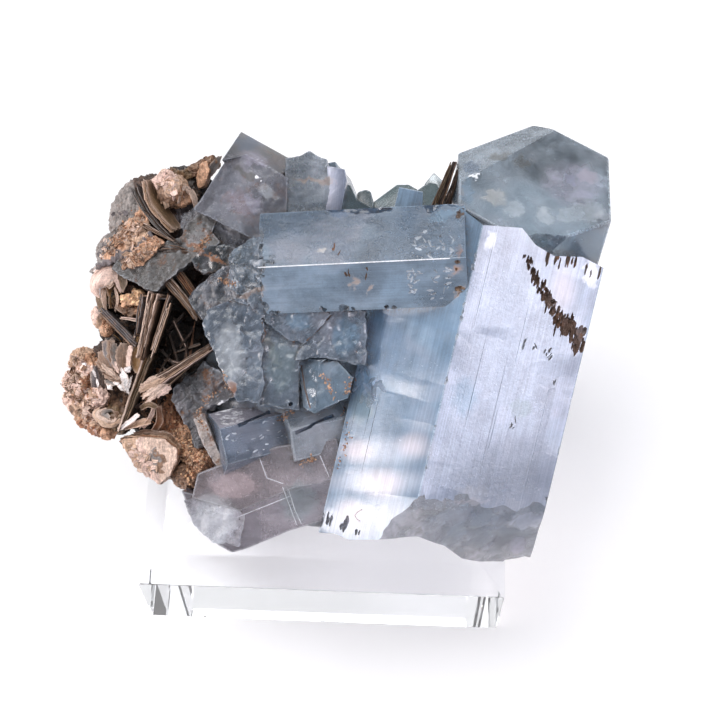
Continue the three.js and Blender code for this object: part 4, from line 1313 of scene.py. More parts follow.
def fan():
    """Leaves that spread like an opened fan, with silver-toned leaves where they meet that paint their
    highlights.
    """
    leaves = []
    for k, (root, tip, wide, tone, out) in enumerate((
        ((-28.7, 4.6, 13.8), (-30.6, 7.4, 13.3), 1.7, BROWN, (-0.3, 0.1, 1)),
        ((-28.5, 4.8, 13.9), (-30.1, 8.9, 13.4), 1.5, SLATE, (-0.5, 0, 1)),
        ((-28, 5, 14.3), (-29.3, 9.1, 13.9), 1.6, BROWN, (0.3, 0, 1)),
        ((-27.8, 5, 14.7), (-28.7, 8.6, 14.5), 1.3, GREY, (0.6, 0.1, 1)),
        ((-26.9, 5, 15), (-27.1, 8.7, 14.8), 2.3, BROWN, (0.2, -0.3, 1)),
        ((-26.4, 5.2, 15.5), (-26.1, 8.5, 15.4), 0.8, PINK, (-0.4, 0, 1)),
        ((-25.1, 4.8, 15.3), (-25.2, 8.5, 15.1), 1.9, AMBER, (-0.3, -0.2, 1)),
        ((-27.8, 4.2, 14.4), (-30.9, 6.2, 13.2), 1.4, BROWN, (0.2, 0.6, 1)),
        ((-27.7, 3.8, 14.5), (-30.2, 5.7, 13.8), 0.9, PALE, (0.4, 0.6, 1)),
        ((-27.4, 3.5, 14.6), (-30, 4.7, 13.8), 1, BROWN, (0, 0.8, 1)),
        ((-27.4, 3.2, 14.6), (-29.7, 3.6, 14), 0.9, GREY, (0.1, 0.5, 1)),
        ((-27.6, 4.8, 15), (-28.6, 6.4, 14.8), 0.7, PINK, (-0.4, -0.3, 1)),
    )):
        root, tip = Vector(root), Vector(tip)
        middle = root.lerp(tip, 0.55) + Vector((0, 0, 0.3))
        leaves += sheaf(
            [root, middle, tip], (0.5 * wide, wide, 0.5 * wide), (tone,), 60 + k, 2, (0.06, 0.04, -0.12),
            slip=0.08, out=out, shine=0.5, ragged=0.3,
        )
    # Silver-toned leaves that paint the highlights where the fan's leaves meet.
    for k, (start, end, wide) in enumerate((
        ((-27.2, 5.2, 15.4), (-26.5, 3.2, 15.6), 1.1), ((-26.7, 4.2, 15.6), (-26.2, 1.9, 15.6), 0.9),
        ((-25.8, 4.2, 15.8), (-26.3, 2.7, 15.7), 0.5), ((-27.6, 3.2, 14.9), (-27, 2.4, 15), 0.7),
        ((-29.2, 3.1, 14.4), (-28.6, 2.6, 14.5), 0.6), ((-26, 5.6, 15.8), (-26.6, 4.9, 15.8), 0.9),
        ((-28.4, 3.6, 14.7), (-27.5, 3, 14.8), 0.5),
    )):
        leaves.append(leaf(
            [start, Vector(start).lerp(Vector(end), 0.5) + Vector((0, 0, 0.15)), end],
            (0.4 * wide, wide, 0.3 * wide),
            SILVER_HIGHLIGHT, 75 + k, out=(0.1, -0.2, 1), shine=1, ragged=0.35, cuts=(14, 5),
        ))
    return leaves


def cup(centre):
    """Leaves rolled round one another like a cup."""
    leaves = []
    for k, (tone, reach, start, sweep) in enumerate((
        (TAN, 1.75, 150, 26), (OLIVE, 1.5, 195, 24), (PALE, 1.25, 120, 30),
        (BROWN, 0.95, 240, 22), (GREY, 0.6, 60, 30),
    )):
        ring = []
        for j in range(8):
            angle = math.radians(start + sweep * j)
            swell = reach * (1 + 0.14 * math.sin(1.7 * j + 2 * k))
            place = Vector((math.cos(angle) * swell, 0.75 * swell * math.sin(angle), 0.1 * j - 0.5))
            ring.append(Vector(centre) + place)
        leaves.append(leaf(
            ring, (0.3, 0.8, 0.9, 0.7, 0.4), tone, 85 + k, out=(0.3, 0.5 - 0.3 * k, 1), cup=-0.25, ragged=0.3,
            cuts=(30, 4),
        ))
    return leaves


def lower_mica():
    """The spray of leaves, blades and tan crumbs at the left end."""
    ground = crumpled(fused([
        lump((-27.4, 3.6, 9.2), (12.4, 13, 6.4)), lump((-27.6, 10.6, 10.6), (7, 5.4, 5.6)),
        lump((-28.6, -1.4, 11), (4.6, 4.4, 4.6)), lump((-24.6, 0.4, 10.6), (6, 7, 5)),
    ]), [
        # The dark and black patches paint shade in the hollow of the spray.
        ([(-28, 5)], 1.6, DARK), ([(-28, 11)], 1.2, BLACK), ([(-24.6, 0)], 1.4, BLACK),
        ([(-28.6, -1)], 1, OLIVE), ([(-27.6, 0.6)], 0.8, BROWN), ([(-23.4, 5)], 1.2, BLACK),
    ], seed=9, folds=0.5)
    shell = crumpled(fused([
        lump((-30.9, 12, 12), (2.2, 3.4, 3.8), 25), lump((-29.7, 10.6, 12.6), (2.4, 1.8, 3.4), 45),
    ], 0.16), [
        ([(-31.4, 12.4)], 0.8, PINK), ([(-30.6, 11.4)], 0.6, TAN), ([(-30.6, 13)], 0.6, GREY),
        ([(-29.9, 11.4), (-28.8, 10)], 0.6, ORANGE),
    ], seed=10, folds=0.18)
    blades = [
        laminate(
            (-30.2, 12.9, 13.4), (-25.5, 8.6, 14), (1.1, 1.1), 3.2, (SLATE, SLATE, BROWN), 91, 4, ledge=0.1,
        ),
        laminate((-25, 11.8, 14.2), (-25.9, 8.9, 14), (0.35, 0.3), 3, (PALE,), 92, 1, ledge=0.1, cuts=14),
        laminate(
            (-24.4, 11.6, 14), (-25.5, 8.8, 13.8), (0.7, 0.5), 3, (AMBER, BROWN), 93, 2, ledge=0.1, cuts=14,
        ),
        laminate(
            (-27.5, 12.1, 14.9), (-24, 11.7, 15.2), (0.4, 0.5), 1, (PINK, PALE), 94, 2, ledge=0.12, cuts=16,
        ),
        laminate((-23.9, 7.6, 15.3), (-27.4, -2.8, 13.7), (0.35, 0.3), 3.4, (PALE, TAN), 95, 1, ledge=0.1),
        laminate(
            (-23.3, 7.4, 15.1), (-27, -2.6, 13.3), (1.1, 0.7),
            3.6, (AMBER, OLIVE, OLIVE), 96, 3, ledge=0.12,
        ),
    ]
    strips = [
        leaf(
            [(-31.4, 5.6, 13.2), (-31, 3.8, 13.7), (-31, 1.9, 13.2)],
            (0.8, 1.4, 0.9), SLATE, 97, (0.3, 0, 1), -0.3, shine=1,
        ),
        leaf(
            [(-30.6, 5.2, 13.2), (-30.2, 3.4, 13.3), (-30.3, 2, 13)],
            (0.8, 1, 0.8), DARK, 98, (-0.3, 0, 1), -0.2,
        ),
        # Silver-toned slivers that paint highlights on the strips.
        leaf([(-31.3, 5, 13.9), (-31.2, 4.6, 14), (-31, 4.1, 13.9)], (0.15, 0.35, 0.15), SILVER_HIGHLIGHT, 99, shine=1),
        leaf(
            [(-30.8, 3.8, 13.9), (-30.7, 3.3, 14), (-30.6, 2.7, 13.9)],
            (0.15, 0.35, 0.15), SILVER_HIGHLIGHT, 100, shine=1,
        ),
        leaf(
            [(-33, 5.8, 13.3), (-32.6, 5.7, 13.5), (-32.3, 5.6, 13.3)],
            (0.3, 0.6, 0.3), SILVER_HIGHLIGHT, 101, shine=1,
        ),
    ]
    # The first curl is silver-toned, which paints its highlight.
    curls = [
        leaf(
            [(-27.5, -2.9, 14.9), (-26.4, -2.2, 15.3), (-24.7, -0.8, 15.6)],
            (0.3, 0.7, 0.6), SILVER_HIGHLIGHT, 102, (-0.4, 0.3, 1), 0.2, shine=0.7,
        ),
        leaf(
            [(-26.6, -2.8, 14.6), (-24.8, -2, 15), (-23.2, -1.6, 15)],
            (0.4, 1, 0.8), TAN, 103, (0, 0.5, 1), 0.3,
        ),
        leaf(
            [(-24.6, -2.4, 14.2), (-23.6, -1.4, 14.8), (-23, 0.2, 15)],
            (0.7, 0.9, 0.6), PINK, 104, (0.8, 0, 0.6), 0.3,
        ),
        leaf(
            [(-24.6, 0, 14.4), (-23.6, 0.6, 15), (-22.4, 0.2, 15)],
            (0.5, 0.9, 0.5), OLIVE, 105, (0, 0.4, 1), 0.3,
        ),
        leaf(
            [(-23, -2.8, 13.6), (-22.2, -1.4, 14.4), (-22.4, 0.4, 14.4)],
            (0.9, 1.1, 0.7), RUST, 106, (0.6, 0, 0.8), 0.3,
        ),
        leaf(
            [(-25.6, -3.4, 14), (-24, -3, 14.2), (-21.8, -3.2, 14)],
            (0.3, 0.6, 0.5), BROWN, 107, (0, 0.5, 1),
        ),
    ]
    splinters = []
    for k, (start, end, tone) in enumerate((
        ((-21.2, 9.8, 14.2), (-19.8, 6, 14.8), PALE), ((-20.8, 12, 13.8), (-18.8, 8.2, 14.2), PINK),
        ((-19.6, 8.6, 14.2), (-17.9, 10.9, 14.6), BROWN), ((-22.4, 8.1, 14.2), (-19.6, 5.2, 15), PALE),
        ((-18.4, 6.6, 14), (-18, 11.6, 13.4), RUST), ((-21.4, 6.6, 14.4), (-18.6, 6.2, 15), PINK),
        ((-17.2, 8.8, 14.2), (-20.4, 7.6, 14.4), BROWN), ((-19.4, 12.8, 13.4), (-21.4, 10.4, 14), BROWN),
        ((-22.2, 4.8, 15), (-21, 7.2, 14.6), BROWN), ((-21.8, 5.6, 15), (-20.2, 4.6, 15.4), TAN),
        ((-18.8, 5.4, 14.6), (-18.6, 8.8, 14.6), PINK), ((-20.4, 5.2, 15), (-18.2, 5.8, 14.6), RUST),
    )):
        splinters.append(laminate(
            start, end, (0.4, 0.2), 0.8, (tone, DARK), 110 + k, 2,
            out=(0.4 - 0.07 * k, 0.3, 1), ledge=0.08, slip=0.4,
            cuts=9,
        ))
    mass = tan_mass()
    leaves = fan() + cup((-28.9, -0.9, 14.1))
    loose = strewn(
        FLAKES, surface_of(mass), [(-34, 6), (-34.8, 2.6), (-32, 1), (-31, -2.4)],
        1, (0.5, 1.2), (TAN, PINK, PALE, BROWN),
        125, 170, 0.8,
    )
    loose += strewn(
        CRUMBS, surface_of(mass), [(-34, 6), (-34.8, 2.6), (-32, 1), (-31, -2.4)],
        1.2, (0.15, 0.5), (TAN, PINK, ORANGE), 126, 170,
    )
    loose += strewn(
        FLAKES, surface_of(ground), [(-29, 7.6), (-26, 7.4), (-27.6, 1)],
        1.2, (0.8, 1.8), (BROWN, DARK, AMBER), 127, 70, 1,
    )
    loose += strewn(
        FLAKES, surface_of(ground), [(-24, 4), (-23, -1)], 1, (0.8, 1.8), (BROWN, DARK, RUST), 128, 60, 1,
    )
    loose += strewn(
        CRUMBS, surface_of(shell), [(-30, 11.6), (-28.8, 10)],
        0.4, (0.15, 0.4), (ORANGE, TAN, RUST), 129, 60,
    )
    return joined("lower_mica_books", [
        ground, shell, mass, *blades, *strips, *curls, *splinters, *leaves, *loose,
    ])


def upright_blade():
    """Two thick plates seen on edge, striped by their leaves."""
    tones = (PALE, PALE, TAN, BROWN, PALE)
    plates = [
        laminate(
            (-22.5, 14.8, 16.8), (-23.9, 7.6, 16.6), (1.7, 1.1), 4.6,
            tones, 131, 7, out=(-0.15, 0, 1), ledge=0.3, slip=1,
        ),
        laminate(
            (-21, 14.4, 16.4), (-23, 7.5, 16.4), (0.9, 0.7), 4.4,
            tones, 132, 4, out=(0.1, 0, 1), ledge=0.26, slip=1,
        ),
        laminate(
            (-23.7, 14.9, 15.6), (-24.3, 10, 15.6), (0.9, 0.3),
            3.4, (BROWN, SLATE), 133, 3, out=(-0.6, 0, 1),
        ),
        laminate(
            (-24.2, 14.9, 16.2), (-21.4, 14.9, 16.4), (0.5, 0.5), 3.6, (BROWN, SLATE), 134, 2, ledge=0.15,
        ),
    ]
    return joined("upright_blade", plates)


def long_blade():
    """A slender blade on edge, frayed at its lower end."""
    tones = (PALE, PALE, TAN, PINK, BROWN)
    leaves = [
        laminate((-15, 8.7, 16.6), (-22.2, 3.7, 17.2), (1, 1.5), 2.4, tones, 141, 6, ledge=0.24, slip=0.7),
        laminate((-17.6, 6.6, 16), (-21.6, 3.1, 16.6), (0.5, 1.2), 2, tones, 142, 4, ledge=0.24, slip=0.7),
    ]
    for k, (root, tip, wide) in enumerate((
        ((-21, 4.7, 17.9), (-24.2, 3.1, 18.2), 0.9), ((-21, 4.3, 18), (-24.3, 2.4, 18.4), 0.8),
        ((-21.2, 3.8, 18), (-23.9, 1.6, 18.2), 0.7), ((-20.8, 3.5, 17.8), (-23.2, 1.2, 18), 0.7),
        ((-20.4, 3.2, 17.6), (-22, 1.9, 17.8), 0.7),
    )):
        middle = Vector(root).lerp(Vector(tip), 0.5) + Vector((0, 0, 0.25))
        leaves += sheaf(
            [root, middle, tip], (wide, 1.1 * wide, 0.5 * wide), (PALE, PINK, TAN), 143 + k, 2, (0, 0, -0.2),
            slip=0.06, ragged=0.3, out=(0.1 * k - 0.2, -0.3, 1),
        )
    return joined("long_blade", leaves)


def rusty_plates():
    plates = [
        laminate(
            (-21.5, 17.3, 14), (-17.6, 12.5, 13), (1.5, 0.9),
            4.6, (TAN, PALE, BROWN, ORANGE), 151, 5, bow=-0.2,
        ),
        laminate(
            (-20.2, 18.3, 14.2), (-16.7, 12.7, 13.2), (1, 0.9),
            4.6, (RUST, BROWN, DARK, RUST), 152, 4, bow=-0.2,
        ),
        laminate(
            (-19.5, 18.4, 14.4), (-17, 14.6, 13.6), (0.4, 0.3),
            3.6, (PINK, BROWN), 153, 2, bow=-0.1, cuts=14,
        ),
    ]
    return joined("rusty_plates", plates)


HEXAGON = [
    (-27.2, -4.3), (-24.4, -3.7), (-21, -3.9), (-19.4, -5.2),
    (-19.5, -6.7), (-20.4, -8.7), (-21.9, -10), (-25, -7.9),
]


def hexagonal_book():
    """A thick six-sided book. Its leaves step back a little from the face down to the foot."""
    level, depth, slope = 15.3, 4.6, (0.2, 0.25)
    piece = fused([slab(HEXAGON, level, depth, slope)], 0.15)
    middle = middle_of(HEXAGON)
    chance = random.Random(161)
    layers = [(chance.uniform(-1, 1), chance.choice((TAN, ORANGE, PALE, RUST, BROWN))) for _ in range(20)]
    sunk = {}
    for vertex in piece.data.vertices:
        flat = vertex.co.to_2d() - middle
        sunk[vertex.index] = level + slope[0] * flat.x + slope[1] * flat.y - vertex.co.z
    crumpled(piece, [
        ([(-24.6, -6.2), (-23, -8.4)], 1, PINK), ([(-26, -6)], 1, TAN), ([(-22.4, -7.2)], 1, GREY),
        ([(-23.4, -5.6)], 0.7, PALE), ([(-20.8, -5.2), (-20.4, -7), (-21.6, -9)], 0.6, PALE),
        ([(-21.6, -6.2), (-21.4, -8)], 0.4, BROWN),
    ], seed=162, folds=0.14, fold_size=1.6, grit=0.02, contrast=0.5)
    tones = piece.data.attributes["tone"].data
    for vertex in piece.data.vertices:
        down = sunk[vertex.index]
        if down > 0.2:
            push, tone = layers[min(int((down + 0.12 * noise.noise(vertex.co)) / 0.3), 19)]
            flat = (vertex.co.to_2d() - middle).normalized()
            reach = 0.14 * push + (0.3 * min(down, 3) * flat.y if flat.y > 0 else 0)
            vertex.co += Vector((flat.x * reach, flat.y * reach, 0))
            tones[vertex.index].color = (*shade(tone, 1 + 0.5 * noise.noise(vertex.co / 0.3)), 1)
    rim = sheaf(
        [(-21.2, -4.5, 15.7), (-19.9, -5.6, 15.6), (-20.2, -7.4, 15.1), (-21.6, -9.4, 14.4)],
        (0.4, 1, 1.1, 0.3),
        (PALE, TAN), 163, 3, (-0.05, 0, -0.12), slip=0.05, cup=-0.25, out=(0.3, 0, 1),
    )
    edge = [
        laminate(
            (-27, -4.3, 14), (-20.6, -4.3, 14.6), (0.9, 0.7), 2,
            (ORANGE, PALE, RUST, TAN), 164, 4, out=(0, 0.3, 1),
        ),
    ]
    loose = strewn(
        FLAKES, surface_of(piece), [(-26, -5.8), (-22, -8.6)],
        0.9, (0.4, 1.1), (PINK, PALE, TAN), 165, 60, 0.25,
    )
    return joined("hexagonal_book", [piece, *rim, *edge, *loose])


def top_book():
    plates = [
        laminate((14.1, 28.7, 10.8), (16.1, 34.5, 11.2), (1.5, 0.9), 4, (DARK, OLIVE, BLACK, BROWN), 171, 6),
        laminate((15.4, 28.6, 10.8), (17, 34, 11.4), (1.2, 0.6), 4, (DARK, SLATE, BROWN, BLACK), 172, 5),
    ]
    loose = strewn(
        FLAKES, surface_of(plates[0]), [(14.4, 29.6), (15.8, 33.6)],
        0.4, (0.4, 1), (BROWN, OLIVE, DARK), 173, 16, 0.8,
    )
    return joined("top_book", [*plates, *loose])


def brown_matrix(cluster):
    """The crumbly brown ground between the crystals, whose deep black and dark patches paint shade, and the
    crumbs left in their seams.
    """
    # This ground lies deep below the pieces; its black and dark tones paint shade.
    ground = crumpled(fused([
        lump((-20, 6, 4.6), (17.4, 23.4, 9.6)), lump((-20, 20, 5.8), (13.6, 12.6, 14.4)),
    ], 0.35), [([(-20, 8)], 1.5, BLACK), ([(-20, 20)], 1, DARK), ([(-21, 2)], 1, DARK)], seed=11, folds=0.5)
    crumbly = crumpled(fused([
        lump((-19.2, -4.4, 10.4), (5.8, 6.8, 6.6)), lump((-16.6, -6.2, 12.2), (4.6, 4.8, 5.6), 20),
        lump((-18.2, -8.8, 11.4), (4.8, 3.8, 5.4)), lump((-21.2, -1, 9.8), (4.8, 5.8, 6.4)),
        lump((-17.6, -3.4, 12), (4, 4, 4)),
    ], 0.17), [
        ([(-18.6, -3.6), (-17, -7)], 1, ORANGE), ([(-20.6, -1.8)], 1, RUST), ([(-18.6, -8.8)], 0.8, BROWN),
        ([(-19.4, -5.6)], 0.7, DARK), ([(-16.4, -5)], 0.7, TAN), ([(-17, -9)], 0.5, TAN),
    ], seed=12, folds=0.3, fold_size=1, grit=0.22, grit_size=0.32, contrast=1.2)
    loose = strewn(
        CRUMBS, surface_of(crumbly),
        [(-20.6, -2.4), (-17.6, -5), (-17, -8.6), (-15.4, -5.4)], 1.1, (0.15, 0.5),
        (TAN, ORANGE, APRICOT, RUST, BROWN), 181, 700,
    )
    seams = [
        [(-0.2, 5.9), (1.6, 2.3)], [(3.7, 5), (3, 3)], [(2.5, 1.4), (3.4, -2.8), (1.9, -6.9)],
        [(-2.8, -6.5), (-1.2, -5.4)], [(-17.6, 21.3), (-15.7, 23.3)], [(-11.6, 16.9), (-14, 17.4)],
        [(-13.2, 5.6), (-12.4, 3)], [(-6, -0.6), (-4, 0.4)],
        [(-14.2, 3), (-16.4, 1)], [(-17, 0.4), (-15.4, -2)],
    ]
    face = surface_of(cluster)
    for k, seam in enumerate(seams):
        loose += strewn(
            CRUMBS, face, seam, 0.25, (0.12, 0.4), (TAN, ORANGE, RUST, BROWN), 185 + k, 44, sunk=0.15,
        )
    return joined("brown_matrix_crumbs", [ground, crumbly, *loose])


# ------------------------------------------------------------------ materials


class Nodes:
    """A small helper that adds linked nodes to one material."""

    def __init__(self, name):
        self.material = bpy.data.materials.new(name)
        self.material.use_nodes = True
        self.tree = self.material.node_tree
        self.shader = self.tree.nodes["Principled BSDF"]
        self.output = self.tree.nodes["Material Output"]

    def add(self, kind, output=0, inputs=None, **settings):
        """Adds a node, sets or links its inputs, and gives back one of its outputs."""
        node = self.tree.nodes.new("ShaderNode" + kind)
        for key, value in settings.items():
            setattr(node, key, value)
        for key, value in (inputs or {}).items():
            self.put(node.inputs[key], value)
        return node.outputs[output]

    def put(self, socket, value):
        if isinstance(value, bpy.types.NodeSocket):
            self.tree.links.new(value, socket)
        else:
            socket.default_value = value

    def set(self, **values):
        """Sets or links the shader's own sockets. An underscore in a name stands for a space."""
        for key, value in values.items():
            self.put(self.shader.inputs[key.replace("_", " ")], value)

    def math(self, operation, first, second=0.0, clamp=False):
        return self.add("Math", inputs={0: first, 1: second}, operation=operation, use_clamp=clamp)

    def mix(self, share, first, second):
        """A mix of two colours."""
        node = self.tree.nodes.new("ShaderNodeMix")
        node.data_type = "RGBA"
        for index, value in ((0, share), (6, first), (7, second)):
            self.put(node.inputs[index], value)
        return node.outputs[2]

    def ramp(self, value, low, high, start=0.0, end=1.0):
        """A smooth rise from start to end while value goes from low to high."""
        return self.add("MapRange", inputs={
            "Value": value, "From Min": low, "From Max": high, "To Min": start, "To Max": end,
        }, interpolation_type="SMOOTHSTEP")

    def mapped(self, vector, scale, turn=(0, 0, 0)):
        return self.add("Mapping", inputs={
            "Vector": vector, "Scale": scale, "Rotation": [math.radians(a) for a in turn],
        })

    def noise(self, vector, scale=1.0, detail=4, roughness=0.55):
        return self.add("TexNoise", inputs={
            "Vector": vector, "Scale": scale, "Detail": detail, "Roughness": roughness,
        })

    def in_mm(self):
        """Places in the part's frame, in millimetres."""
        return self.mapped(self.add("TexCoord", output="Object"), (1 / MM,) * 3)

    def attribute(self, name, output="Fac"):
        node = self.tree.nodes.new("ShaderNodeAttribute")
        node.attribute_name = name
        return node.outputs[output]

    def bump(self, height, strength, distance, below=None):
        inputs = {"Height": height, "Strength": strength, "Distance": distance * MM}
        if below is not None:
            inputs["Normal"] = below
        return self.add("Bump", inputs=inputs)


# How each region of the cluster is finished: its tint, how cloudy it is, how rough, how strongly it
# is grooved along its grain, and how much brown stain lies on it.
FINISHES = {
    "large_prism": ((0.22, 0.32, 0.45), 0.6, 0.12, 1.0, 0.0),
    # The right face's paler, cloudier tint paints part of the light's sheen on it.
    "large_prism_right": ((0.52, 0.57, 0.72), 0.72, 0.16, 1.0, 0.0),
    "large_prism_groove": ((0.42, 0.5, 0.62), 0.4, 0.12, 0.5, 0.0),
    "foot_break": ((0.64, 0.6, 0.62), 0.35, 0.12, 0.1, 0.1),
    "foot_tooth": ((0.4, 0.44, 0.52), 0.4, 0.2, 0.0, 0.1),
    "above_prism": ((0.33, 0.36, 0.4), 0.4, 0.3, 0.1, 0.5),
    "below_prism": ((0.42, 0.42, 0.46), 0.4, 0.25, 0.1, 0.2),
    "rust_pit": ((0.12, 0.06, 0.04), 1.0, 0.7, 0.0, 0.45),
    "rust_notch": ((0.1, 0.06, 0.04), 1.0, 0.6, 0.0, 0.55),
    "grey_speck": ((0.2, 0.22, 0.25), 0.8, 0.5, 0.0, 0.3),
    "etched_scale": ((0.34, 0.42, 0.54), 0.4, 0.25, 0.2, 0.0),
    "edge_chip": ((0.6, 0.66, 0.76), 0.6, 0.3, 0.0, 0.0),
    "upper_block": ((0.4, 0.45, 0.5), 0.25, 0.14, 0.1, 0.05),
    "corner_break": ((0.3, 0.38, 0.48), 0.3, 0.2, 0.1, 0.1),
    "middle_mass": ((0.17, 0.21, 0.27), 0.4, 0.16, 0.1, 0.15),
    "dusty_ground": ((0.15, 0.15, 0.18), 0.5, 0.25, 0.1, 0.3),
    "horizontal_step": ((0.16, 0.21, 0.27), 0.45, 0.18, 0.1, 0.2),
    "horizontal_top": ((0.1, 0.15, 0.22), 0.55, 0.2, 0.4, 0.08),
    "frosted_corner": ((0.38, 0.36, 0.41), 0.5, 0.26, 0.0, 0.05),
    "frosted_line": ((0.75, 0.75, 0.82), 0.9, 0.3, 0.0, 0.0),
    "rust_line": ((0.1, 0.05, 0.04), 1.0, 0.5, 0.0, 0.0),
    "small_prism_top": ((0.46, 0.44, 0.5), 0.5, 0.3, 0.3, 0.1),
    "tan_plate": ((0.36, 0.3, 0.27), 0.9, 0.4, 0.0, 0.4),
    "horizontal_crystal": ((0.3, 0.39, 0.5), 0.5, 0.14, 0.5, 0.1),
    "blue_chip": ((0.07, 0.13, 0.22), 0.4, 0.12, 0.1, 0.0),
    # Pale, cloudy chips that paint glints.
    "clear_chip": ((0.7, 0.76, 0.85), 0.6, 0.15, 0.0, 0.0),
    # The white rod on the horizontal crystal's ridge: a painted highlight.
    "frosted_ridge": ((0.95, 0.96, 1.0), 1.0, 0.3, 0.0, 0.0),
    "upper_left_crystal": ((0.25, 0.25, 0.29), 0.35, 0.16, 0.5, 0.3),
    "upper_left_end": ((0.17, 0.17, 0.19), 0.3, 0.16, 0.2, 0.3),
    "upper_middle_crystal": ((0.36, 0.41, 0.47), 0.3, 0.24, 0.5, 0.15),
    # A pale lavender tint that paints the light's sheen on this facet.
    "upper_middle_facet": ((0.5, 0.54, 0.68), 0.5, 0.14, 0.8, 0.0),
    "grey_green_crystal": ((0.14, 0.13, 0.125), 0.6, 0.28, 0.1, 0.35),
    # Near-black tint: painted shade on a crystal that lies in shadow.
    "teal_crystal": ((0.045, 0.055, 0.065), 0.4, 0.14, 0.2, 0.35),
    "under_horizontal": ((0.13, 0.15, 0.19), 0.45, 0.2, 0.1, 0.3),
    "dark_lump": ((0.075, 0.075, 0.09), 0.6, 0.3, 0.1, 0.35),
    "bluish_crystal": ((0.25, 0.35, 0.45), 0.35, 0.12, 0.2, 0.05),
    "small_prism": ((0.2, 0.25, 0.34), 0.3, 0.12, 0.6, 0.05),
    "beside_small_prism": ((0.42, 0.46, 0.52), 0.35, 0.16, 0.4, 0.05),
    "frosted_strip": ((0.8, 0.8, 0.84), 0.7, 0.3, 0.0, 0.0),
    "clear_upper_crystal": ((0.36, 0.31, 0.33), 0.35, 0.2, 0.2, 0.15),
    "clear_lower_crystal": ((0.38, 0.34, 0.38), 0.3, 0.18, 0.2, 0.1),
    "behind": ((0.16, 0.21, 0.22), 0.35, 0.18, 0.2, 0.15),
    "clear_tip": ((0.7, 0.75, 0.76), 0.1, 0.1, 0.1, 0.0),
    "heart": ((0.24, 0.28, 0.34), 0.4, 0.35, 0.1, 0.3),
    "rear": ((0.33, 0.42, 0.52), 0.3, 0.14, 0.5, 0.1),
}

# Broken ridges are lightened towards this pale tone, which stands for frosted wear and painted highlight.
# WORN_EDGE is the pale tone of worn bevels.
RIDGE_WEAR_AND_HIGHLIGHT = Vector((0.72, 0.76, 0.84))
WORN_EDGE = Vector((0.62, 0.68, 0.76))


def finish_of(name):
    """The finish of a zone, by the longest name in the table that it starts with."""
    known = [key for key in FINISHES if name.startswith(key)]
    return FINISHES[max(known, key=len)]


def ridged(mesh):
    """How far each vertex stands out from its neighbours, from -1 in a hollow to 1 on an edge."""
    pull = [Vector() for _ in mesh.vertices]
    lengths = [0] * len(mesh.vertices)
    for edge in mesh.edges:
        first, last = edge.vertices
        step = mesh.vertices[last].co - mesh.vertices[first].co
        pull[first] += step
        pull[last] -= step
        lengths[first] += step.length
        lengths[last] += step.length
    raised = []
    for vertex, drawn, length in zip(mesh.vertices, pull, lengths):
        out = -drawn.dot(vertex.normal) / max(length, 0.001)
        raised.append(max(-1, min(1, 2.2 * out)))
    return raised


def write_finishes(piece):
    """Writes each region's finish and grain into the mesh, with painted highlight on the ridges and painted
    shade in the hollows of broken regions, and leaves it with one material slot.
    """
    mesh = piece.data
    zones = [ZONES[m.name] for m in mesh.materials]
    looks = [finish_of(z["name"]) for z in zones]
    for name, kind in (
        ("tint", "FLOAT_COLOR"), ("finish", "FLOAT_VECTOR"), ("stain", "FLOAT"), ("grain", "FLOAT_VECTOR"),
    ):
        mesh.attributes.new(name, kind, "CORNER")
    tint, finish, stain, grain = (mesh.attributes[a] for a in ("tint", "finish", "stain", "grain"))
    raised = ridged(mesh)
    for face in mesh.polygons:
        region = face.material_index
        colour, cloudy, rough, grooved, stained = looks[region]
        inverse = zones[region]["inverse"]
        if zones[region]["name"].endswith("_edge") and not zones[region]["name"].startswith("horizontal"):
            colour = Vector(colour).lerp(WORN_EDGE, 0.25)
            cloudy, rough = cloudy + 0.15, rough + 0.1
        broken = zones[region].get("broken", False)
        for loop in face.loop_indices:
            index = mesh.loops[loop].vertex_index
            # In broken regions, ridges are lightened as pale wear and painted highlight, and hollows are
            # darkened with painted shade and take more stain.
            edge = max(raised[index], 0) if broken else 0
            hollow = max(-raised[index], 0) if broken else 0
            seen = Vector(colour).lerp(RIDGE_WEAR_AND_HIGHLIGHT, 0.5 * edge) * (1 - 0.4 * hollow)
            tint.data[loop].color = (*seen, 1)
            finish.data[loop].vector = (cloudy + 0.2 * edge, rough, grooved)
            stain.data[loop].value = stained + 0.35 * hollow
            grain.data[loop].vector = inverse @ mesh.vertices[index].co
    mesh.polygons.foreach_set("material_index", [0] * len(mesh.polygons))
    mesh.materials.clear()


BERYL_IOR = 1.577
ACRYLIC_IOR = 1.49
MICA_IOR = 1.58

# Colours laid on the beryl: tint, strength and how cloudy the place is. The pale and pink sheen and the pearl
# paint the light's reflections on the prism's faces, and the darkest blue-grey paints shade on the lower
# right face.
INCLUSIONS = {
    "rust": ((0.2, 0.085, 0.04), 0.9, 1.0),
    "amber": ((0.4, 0.18, 0.06), 0.8, 0.8),
    "tan": ((0.45, 0.3, 0.2), 0.6, 0.7),
    "olive": ((0.1, 0.1, 0.095), 0.75, 0.5),
    "deep_blue": ((0.05, 0.1, 0.19), 0.6, 0.3),
    "clear_blue": ((0.2, 0.36, 0.52), 0.45, 0.1),
    "sea_grey": ((0.22, 0.29, 0.31), 0.5, 0.3),
    "milk": ((0.62, 0.66, 0.7), 0.5, 0.4),
    "cream": ((0.68, 0.62, 0.55), 0.5, 0.4),
    "lilac": ((0.52, 0.48, 0.6), 0.5, 0.3),
    "rose": ((0.78, 0.6, 0.62), 0.4, 0.4),
    "pearl": ((0.86, 0.86, 0.95), 0.6, 0.6),
    "white": ((0.95, 0.96, 1.0), 0.9, 0.8),
    "sheen": ((0.74, 0.75, 0.86), 0.55, 0.3),
    "pink_sheen": ((0.86, 0.68, 0.68), 0.4, 0.2),
    "right_face_shade": ((0.17, 0.2, 0.27), 0.85, 0.0),
    "brown": ((0.19, 0.12, 0.08), 0.7, 0.8),
}

